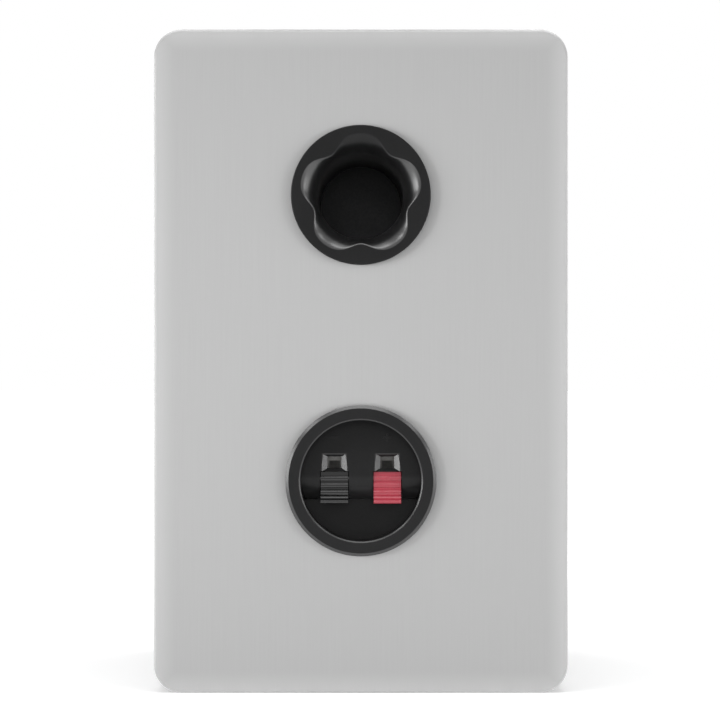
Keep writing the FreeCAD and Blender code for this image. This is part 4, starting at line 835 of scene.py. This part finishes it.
@dataclass
class ReflexPort:
    """Moulded port with a lobed mouth."""

    centre_z: float = 0.1875
    bore: float = 0.0163
    tube: float = 0.0183
    mouth: float = 0.0207
    lobe: float = 0.00225
    lobes: int = 5
    fullness: float = 0.35
    flare: float = 0.011
    roll: float = 0.97
    lip: float = 0.0003
    flange: float = 0.0026
    flange_round: float = 0.0005
    collar_wall: float = 0.0018
    collar_taper: float = 0.004
    steps: int = 360
    flare_steps: int = 28
    round_steps: int = 8
    sharp: float = 20.0
    specular: float = 0.16

    def finish(self) -> PortMoulding:
        """Satin black of the whole moulding."""
        return PortMoulding(
            "satin port moulding", (0.0075, 0.0075, 0.0077), (0.01, 0.01, 0.0103), (0.32, 0.36),
            depth=0.000002, specular=self.specular,
        )

    def opening(self, depth: float, turn: float) -> float:
        """Radius of the lobed mouth.

        Args:
            depth: Distance below the flange's face.
            turn: Cosine of the angle within a lobe, 1 on its crest.

        Returns:
            The radius there.
        """
        inward = self.roll * (1 - depth / self.flare)
        share = (1 - math.sqrt(1 - inward**2)) / (1 - math.sqrt(1 - self.roll**2))
        wave = self.lobe * (turn + self.fullness * (1 - turn**2))
        return self.bore + (self.mouth - self.bore + wave) * share

    def section(self, turn: float, rim: float, length: float) -> Outline:
        """Closed section of the wall at one angle, from the far end of the bore to the tube's.

        Args:
            turn: Cosine of the angle within a lobe.
            rim: Radius of the flange.
            length: Distance from the flange's face to the far end.

        Returns:
            Points as (radius, depth below the flange's face).
        """
        points = [(self.bore, length)]
        for step in range(self.flare_steps, -1, -1):
            depth = self.lip + (self.flare - self.lip) * (step / self.flare_steps) ** 2
            points.append((self.opening(depth, turn), depth))
        inner, edge = points[-1][0], self.opening(0.0, turn)
        for step in range(1, self.round_steps + 1):
            on = step / self.round_steps
            radius = (1 - on) ** 2 * inner + 2 * on * (1 - on) * edge + on**2 * (edge + self.lip)
            points.append((radius, (1 - on) ** 2 * self.lip))
        for step in range(self.round_steps + 1):
            angle = math.pi / 2 * step / self.round_steps
            radius = rim - self.flange_round * (1 - math.sin(angle))
            points.append((radius, self.flange_round * (1 - math.cos(angle))))
        collar = self.opening(self.flange, 1.0) + self.collar_wall
        points += [(rim, self.flange), (collar, self.flange), (collar, self.flare)]
        return points + [(self.tube, self.flare + self.collar_taper), (self.tube, length)]

    def build(self) -> None:
        """Make the moulding with a rounded lip round the edge of its mouth."""
        low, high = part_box("reflex_port")
        rings = []
        for step in range(self.steps):
            angle = 2 * math.pi * step / self.steps
            across, up = math.sin(angle), math.cos(angle)
            section = self.section(math.cos(self.lobes * angle), high.x, high.y - low.y)
            rings.append([(r * across, high.y - depth, self.centre_z + r * up) for r, depth in section])
        mesh = ring_mesh("port_moulding", rings)
        piece = shape("port_moulding", mesh, self.finish(), self.sharp)
        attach(piece, CABINET)
        stand_in(piece, "reflex_port")


@dataclass
class TerminalCup:
    """Round cup with two sprung wire clips."""

    heel: float = 0.0816
    bend: float = 0.0915
    leg: float = 0.0786
    leg_margin: float = 0.0012

    def dress(self) -> None:
        """Finish the cup, its cover and gasket, and the levers."""
        cup = CupMoulding(
            "black cup moulding", (0.0095, 0.0095, 0.0098), (0.0125, 0.0125, 0.0129), (0.28, 0.32),
            depth=0.000006, specular=0.165,
        )
        dress(cup, "terminal_cup", "terminal_back_cover")
        dress(FOAM, "terminal_gasket")
        red = Grained(
            "red lever moulding", (0.36, 0.03, 0.05), (0.45, 0.046, 0.073), (0.14, 0.18), depth=0.000004
        )
        black = Grained(
            "black lever moulding", (0.003, 0.003, 0.0031), (0.005, 0.005, 0.0052), (0.09, 0.11),
            depth=0.000003, specular=0.5,
        )
        dress(red, "lever_positive")
        dress(black, "lever_negative")

    def build(self) -> None:
        """Make both contact strips, sliced across; the real strips bend where the lever's heel lifts their
        free leg.
        """
        for side in ("positive", "negative"):
            node = f"contact_spring_{side}"
            mesh = supple_copy(node, {Axis.Z: 24, Axis.Y: 8})
            piece = shape(f"contact_strip_{side}", mesh, BRONZE)
            follow(piece)
            stand_in(piece, node)


@dataclass
class Woofer:
    """Long-throw driver with a paper cone in a pressed basket."""

    centre_z: float = 0.078
    lips: tuple[float, float] = (0.036, 0.050)
    roll_centre: float = 0.043
    roll: float = 0.004
    rubber: float = 0.0007
    cloth: float = 0.0006
    cloth_wave: float = 0.00055
    cloth_rolls: int = 3
    cloth_steps: int = 96
    cloth_fit: float = 0.00005
    cloth_flat: tuple[float, float] = (0.01445, 0.0262)

    def lathe(self) -> Lathe:
        """Lathe on the axis of the driver."""
        return Lathe(Axis.Y, (0.0, 0.0, self.centre_z))

    def dress(self) -> None:
        """Finish the rigid parts."""
        trim = Grained(
            "trim ring moulding", (0.012, 0.012, 0.0125), (0.02, 0.02, 0.021), (0.4, 0.52), 0.0005,
            0.00002, specular=0.25,
        )
        paint = Grained(
            "basket paint", (0.012, 0.012, 0.013), (0.022, 0.022, 0.023), (0.4, 0.55), 0.0007, 0.00003,
            specular=0.3,
        )
        cone = Pulp("cone paper", (0.02, 0.02, 0.022), (0.045, 0.046, 0.05), self.centre_z)
        cap = Pulp("cap paper", (0.014, 0.014, 0.015), (0.024, 0.024, 0.026), self.centre_z, 0.05, 0.36)
        dress(trim, "woofer_trim_ring")
        dress(paint, "woofer_basket")
        dress(cone, "woofer_cone")
        dress(cap, "woofer_dust_cap")
        dress(FOAM, "woofer_gasket")
        dress(BLACK_SCREW, "woofer_screws")
        dress(FORMER, "woofer_coil_former")
        dress(Winding("fine coil winding", Axis.Y, 0.0004), "woofer_coil_winding")
        dress(PLATED_STEEL, "woofer_top_plate", "woofer_yoke")
        dress(FERRITE, "woofer_magnet")
        dress(PHENOLIC, "woofer_tag_strip")
        dress(BRONZE, "woofer_tags")
        dress(LEADS, "woofer_leads")

    def build(self) -> None:
        """Make the parts that flex with the cone."""
        self.surround()
        self.spider()
        self.braids()

    def surround(self) -> None:
        """Rubber half-roll, free at the cone and still at the basket."""
        inside, outside = self.lips
        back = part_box("woofer_cone")[0].y
        outline = half_roll(inside, self.roll_centre, self.roll, outside, self.rubber)
        mesh = self.lathe().turn("surround", [(r, back - h) for r, h in outline])
        rubber = Grained(
            "surround rubber", (0.011, 0.011, 0.0115), (0.017, 0.017, 0.0175), (0.36, 0.44), 0.0008,
            0.000012, specular=0.3,
        )
        piece = shape("surround", mesh, rubber, 60.0)
        still, moving = self.roll_centre + self.roll, self.roll_centre - self.roll
        share = (still - radii_of(piece, self.centre_z)) / (still - moving)
        share = np.clip(share, 0.0, 1.0)
        follow(piece)
        stand_in(piece, "woofer_surround")

    def spider(self) -> None:
        """Corrugated cloth, free at the former and still at the basket."""
        low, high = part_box("woofer_spider")
        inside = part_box("woofer_coil_former")[1].x + self.cloth_fit
        start, end = self.cloth_flat
        level = (low.y + high.y) / 2
        wave = [(inside, 0.0)]
        for step in range(self.cloth_steps + 1):
            share = step / self.cloth_steps
            swing = self.cloth_wave * math.sin(2 * math.pi * self.cloth_rolls * share)
            wave.append((start + (end - start) * share, swing))
        wave.append((high.x, 0.0))
        half = self.cloth / 2
        outline = [(r, level - h + half) for r, h in wave]
        outline += [(r, level - h - half) for r, h in reversed(wave)]
        cloth = Weave("spider cloth", (0.4, 0.25, 0.07), (0.62, 0.43, 0.16), 0.0009, 0.75, 0.2)
        piece = shape("spider", self.lathe().turn("spider", outline), cloth, 60.0)
        share = np.clip((end - radii_of(piece, self.centre_z)) / (end - start), 0.0, 1.0)
        follow(piece)
        stand_in(piece, "woofer_spider")

    def braids(self) -> None:
        """Tinsel braids that swing between the tags and the cone."""
        mesh = supple_copy("woofer_tinsel_leads", {Axis.Y: 16, Axis.Z: 12})
        braid = Winding("tinsel braid", Axis.Y, 0.0007)
        piece = shape("tinsel_braids", mesh, braid, 60.0)
        follow(piece)
        stand_in(piece, "woofer_tinsel_leads")


@dataclass
class Tweeter:
    """Soft dome in a shallow waveguide."""

    centre_z: float = 0.187
    lips: tuple[float, float] = (0.01255, 0.01785)
    roll_centre: float = 0.0141
    roll: float = 0.0012
    silk: float = 0.00035

    def dress(self) -> None:
        """Finish the rigid parts and the dome."""
        plate = Grained(
            "waveguide moulding", (0.011, 0.011, 0.0115), (0.018, 0.018, 0.019), (0.34, 0.42), 0.0005,
            0.000015, specular=0.25,
        )
        motor = Grained(
            "black chromate", (0.03, 0.03, 0.031), (0.042, 0.042, 0.043), (0.28, 0.34), 0.0007, 0.000004,
            metallic=1.0,
        )
        dress(plate, "tweeter_faceplate")
        dress(self.cloth(), "tweeter_dome")
        dress(FOAM, "tweeter_gasket")
        dress(BLACK_SCREW, "tweeter_screws")
        dress(FORMER, "tweeter_coil_former")
        dress(Winding("thin coil winding", Axis.Y, 0.0003), "tweeter_coil_winding")
        dress(motor, "tweeter_top_plate", "tweeter_yoke")
        dress(FERRITE, "tweeter_magnet")
        dress(PHENOLIC, "tweeter_tag_strip")
        dress(BRONZE, "tweeter_tags")
        dress(LEADS, "tweeter_leads")

    def cloth(self) -> Weave:
        """Doped silk of the dome and its roll."""
        return Weave("doped silk", (0.008, 0.008, 0.009), (0.022, 0.022, 0.024), 0.0005, 0.34, 0.15)

    def build(self) -> None:
        """Make the half-roll, free at the dome and still at the clamp."""
        inside, outside = self.lips
        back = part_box("tweeter_suspension")[1].y
        outline = half_roll(inside, self.roll_centre, self.roll, outside, self.silk, 16)
        lathe = Lathe(Axis.Y, (0.0, 0.0, self.centre_z))
        mesh = lathe.turn("dome_roll", [(r, back - h) for r, h in outline])
        piece = shape("dome_roll", mesh, self.cloth(), 60.0)
        still, moving = self.roll_centre + self.roll, self.roll_centre - self.roll
        share = (still - radii_of(piece, self.centre_z)) / (still - moving)
        follow(piece)
        stand_in(piece, "tweeter_suspension")


@dataclass
class Crossover:
    """Filter board on the cabinet's floor, with its leads."""

    turns: int = 15
    core: float = 0.00805
    wire_bulge: float = 0.0006
    wire_steps: int = 6
    wire_lap: float = 0.999
    round_steps: int = 96

    def dress(self) -> None:
        """Finish the board, its parts and the leads to the terminals."""
        film = Grained("capacitor resin", (0.5, 0.3, 0.02), (0.62, 0.41, 0.05), (0.22, 0.32), 0.0012)
        sleeve = Grained("can sleeve", (0.012, 0.02, 0.06), (0.02, 0.03, 0.085), (0.2, 0.3), 0.0012)
        cement = Grained(
            "resistor cement", (0.52, 0.51, 0.47), (0.74, 0.73, 0.69), (0.8, 0.95), 0.0004, 0.00008
        )
        dress(Laminate("circuit board"), "crossover_board")
        dress(NYLON, "crossover_standoffs", "inductor_bobbin")
        dress(PLATED_STEEL, "crossover_screws")
        dress(film, "film_capacitor")
        dress(sleeve, "bipolar_capacitor")
        dress(cement, "power_resistor")
        dress(LEADS, "input_leads")

    def build(self) -> None:
        """Make the inductor's winding, with a rounded ridge for each turn of its outer layer."""
        low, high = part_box("inductor_winding")
        centre = (low + high) / 2
        pitch = (high.z - low.z) / self.turns
        edge = high.x - centre.x
        outline = [(self.core, high.z), (self.core, low.z)]
        for turn in range(self.turns):
            for step in range(self.wire_steps + 1):
                share = step / self.wire_steps
                dip = self.wire_bulge * (1 - math.sin(math.pi * share))
                outline.append((edge - dip, low.z + (turn + share * self.wire_lap) * pitch))
        lathe = Lathe(Axis.Z, (centre.x, centre.y, 0.0), self.round_steps)
        mesh = lathe.turn("inductor_turns", outline)
        piece = shape("inductor_turns", mesh, Winding("enamelled wire", Axis.Z, pitch), 70.0)
        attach(piece, CABINET)
        stand_in(piece, "inductor_winding")


@dataclass
class Damping:
    """Fibre pads glued to both side walls."""

    cells: int = 44
    edge: float = 0.3
    waist: float = 0.003
    lump: float = 0.0022
    lump_scale: float = 60.0
    flatness: float = 5.0
    fullness: float = 0.4

    def build(self) -> None:
        """Make both pads."""
        for side in ("left", "right"):
            piece = self.pad(f"wadding_{side}")
            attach(piece, CABINET)

    def pad(self, node: str) -> bpy.types.Object:
        """Make one pad: flat on the wall, crowned and lumpy towards the room.

        Args:
            node: The frame node that it stands for.

        Returns:
            The piece.
        """
        low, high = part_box(node)
        middle, half = (low + high) / 2, (high - low) / 2
        wall, room = (low.x, high.x) if middle.x < 0 else (high.x, low.x)
        points, faces = [], []
        size = self.cells + 1
        for sheet in (0, 1):
            for i in range(size):
                for j in range(size):
                    u, v = 2 * i / self.cells - 1, 2 * j / self.cells - 1
                    square = (1 - abs(u) ** self.flatness) * (1 - abs(v) ** self.flatness)
                    crown = square**self.fullness
                    y = middle.y + u * (half.y - self.waist * (1 - v * v))
                    z = middle.z + v * (half.z - self.waist * (1 - u * u))
                    thick = self.edge + (1 - self.edge) * crown
                    spot = Vector((y, z, middle.x)) * self.lump_scale
                    lumps = self.lump * (0.5 + 0.5 * noise.noise(spot))
                    reach = thick * abs(room - wall) - lumps * crown
                    x = wall if sheet == 0 else wall + math.copysign(reach, room - wall)
                    points.append((x, y, z))
        step = size * size
        for i in range(self.cells):
            for j in range(self.cells):
                a, b = i * size + j, (i + 1) * size + j
                faces.append((a, b, b + 1, a + 1))
                faces.append((step + a, step + a + 1, step + b + 1, step + b))
        rim = [i * size for i in range(size)]
        rim += [self.cells * size + j for j in range(1, size)]
        rim += [i * size + self.cells for i in range(self.cells - 1, -1, -1)]
        rim += range(self.cells - 1, 0, -1)
        for a, b in zip(rim, rim[1:] + rim[:1]):
            faces.append((a, b, step + b, step + a))
        mesh = bpy.data.meshes.new(node)
        mesh.from_pydata(points, [], faces)
        piece = shape(f"pad_{node}", mesh, Fibre("white fibre"), 180.0)
        return stand_in(piece, node)


@dataclass
class Studio:
    """Camera at the back of the speaker, soft boxes, white floor and white surroundings."""

    distance: float = 1.2
    view_width: float = 0.27108
    shift: tuple[float, float] = (-0.0012, 0.0015)
    sensor: float = 36.0
    aim_height: float = 0.12
    floor_half: float = 12.0
    floor_cells: int = 8
    ambient: float = 0.4

    def build(self) -> None:
        """Set the camera, the lights and the floor."""
        self.camera()
        self.boxes()
        self.floor()
        self.surroundings()
        bpy.context.scene.view_settings.view_transform = "Standard"

    def camera(self) -> None:
        """Level camera, square to the rear plate."""
        low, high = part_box("rear_plate")
        lens = bpy.data.cameras.new("camera")
        lens.sensor_width = self.sensor
        lens.lens = self.sensor * self.distance / self.view_width
        lens.shift_x, lens.shift_y = self.shift
        camera = bpy.data.objects.new("camera", lens)
        camera.location = (0.0, high.y + self.distance, (low.z + high.z) / 2)
        camera.rotation_euler = (math.radians(90.0), 0.0, math.radians(180.0))
        bpy.context.scene.collection.objects.link(camera)
        bpy.context.scene.camera = camera

    def box(self, name: str, place: Triple, size: tuple[float, float], power: float) -> None:
        """Add a soft box aimed at the middle of the speaker.

        Args:
            name: Name of the lamp.
            place: Its middle.
            size: Width and height.
            power: Watts.
        """
        lamp = bpy.data.lights.new(name, "AREA")
        lamp.shape = "RECTANGLE"
        lamp.size, lamp.size_y = size
        lamp.energy = power
        holder = bpy.data.objects.new(name, lamp)
        holder.location = place
        aim = Vector((0.0, 0.0, self.aim_height)) - holder.location
        holder.rotation_euler = aim.to_track_quat("-Z", "Y").to_euler()
        bpy.context.scene.collection.objects.link(holder)

    def boxes(self) -> None:
        """Soft boxes beside and above the back and the front, at the back's corners, and overhead."""
        self.box("rear_key", (0.76, 0.58, 0.21), (0.1, 0.4), 1.9)
        self.box("rear_fill", (-0.76, 0.58, 0.21), (0.1, 0.4), 0.9)
        self.box("rear_key_side", (0.86, 0.36, 0.21), (0.25, 0.4), 1.4)
        self.box("rear_fill_side", (-0.86, 0.36, 0.21), (0.25, 0.4), 0.6)
        self.box("rear_top", (0.0, 0.52, 0.9), (0.7, 0.25), 2.6)
        self.box("rear_corner_key", (0.54, 0.58, 0.66), (0.26, 0.16), 1.0)
        self.box("rear_corner_fill", (-0.54, 0.58, 0.66), (0.26, 0.16), 0.6)
        self.box("front_key", (-0.72, -0.62, 0.35), (0.2, 0.5), 2.6)
        self.box("front_fill", (0.76, -0.58, 0.25), (0.15, 0.4), 1.0)
        self.box("front_top", (0.0, -0.56, 0.86), (0.7, 0.25), 2.4)
        self.box("overhead", (0.0, 0.0, 1.5), (1.1, 1.1), 3.4)

    def floor(self) -> None:
        """White floor under the speaker, out to the horizon."""
        row = self.floor_cells + 1
        step = 2 * self.floor_half / self.floor_cells
        ticks = [i * step - self.floor_half for i in range(row)]
        points = [(x, y, 0.0) for x in ticks for y in ticks]
        faces = [
            (i * row + j, (i + 1) * row + j, (i + 1) * row + j + 1, i * row + j + 1)
            for i in range(self.floor_cells)
            for j in range(self.floor_cells)
        ]
        mesh = bpy.data.meshes.new("floor")
        mesh.from_pydata(points, [], faces)
        shape("floor", mesh, StudioFloor("white floor"))

    def surroundings(self) -> None:
        """White for what is seen or mirrored, pale grey for the light that it gives."""
        world = bpy.data.worlds.new("surroundings")
        world.use_nodes = True
        bpy.context.scene.world = world
        paint = Paint(world.node_tree)
        white = (1.0, 1.0, 1.0, 1.0)
        pale, bright = [
            paint.node("ShaderNodeBackground", inputs={"Color": white, "Strength": level})
            for level in (self.ambient, 1.0)
        ]
        sky = paint.node("ShaderNodeMixShader", inputs={0: background_rays(paint), 1: pale, 2: bright})
        paint.node("ShaderNodeOutputWorld", inputs={"Surface": sky})


def main() -> None:
    """Dress the frame, build the pieces that stand for some nodes, and light the speaker."""
    logging.basicConfig(level=logging.INFO, format="%(message)s")
    Cabinet().dress()
    ReflexPort().build()
    for assembly in (TerminalCup(), Woofer(), Tweeter(), Crossover()):
        assembly.dress()
        assembly.build()
    Damping().build()
    Studio().build()


if __name__ == "__main__":
    main()
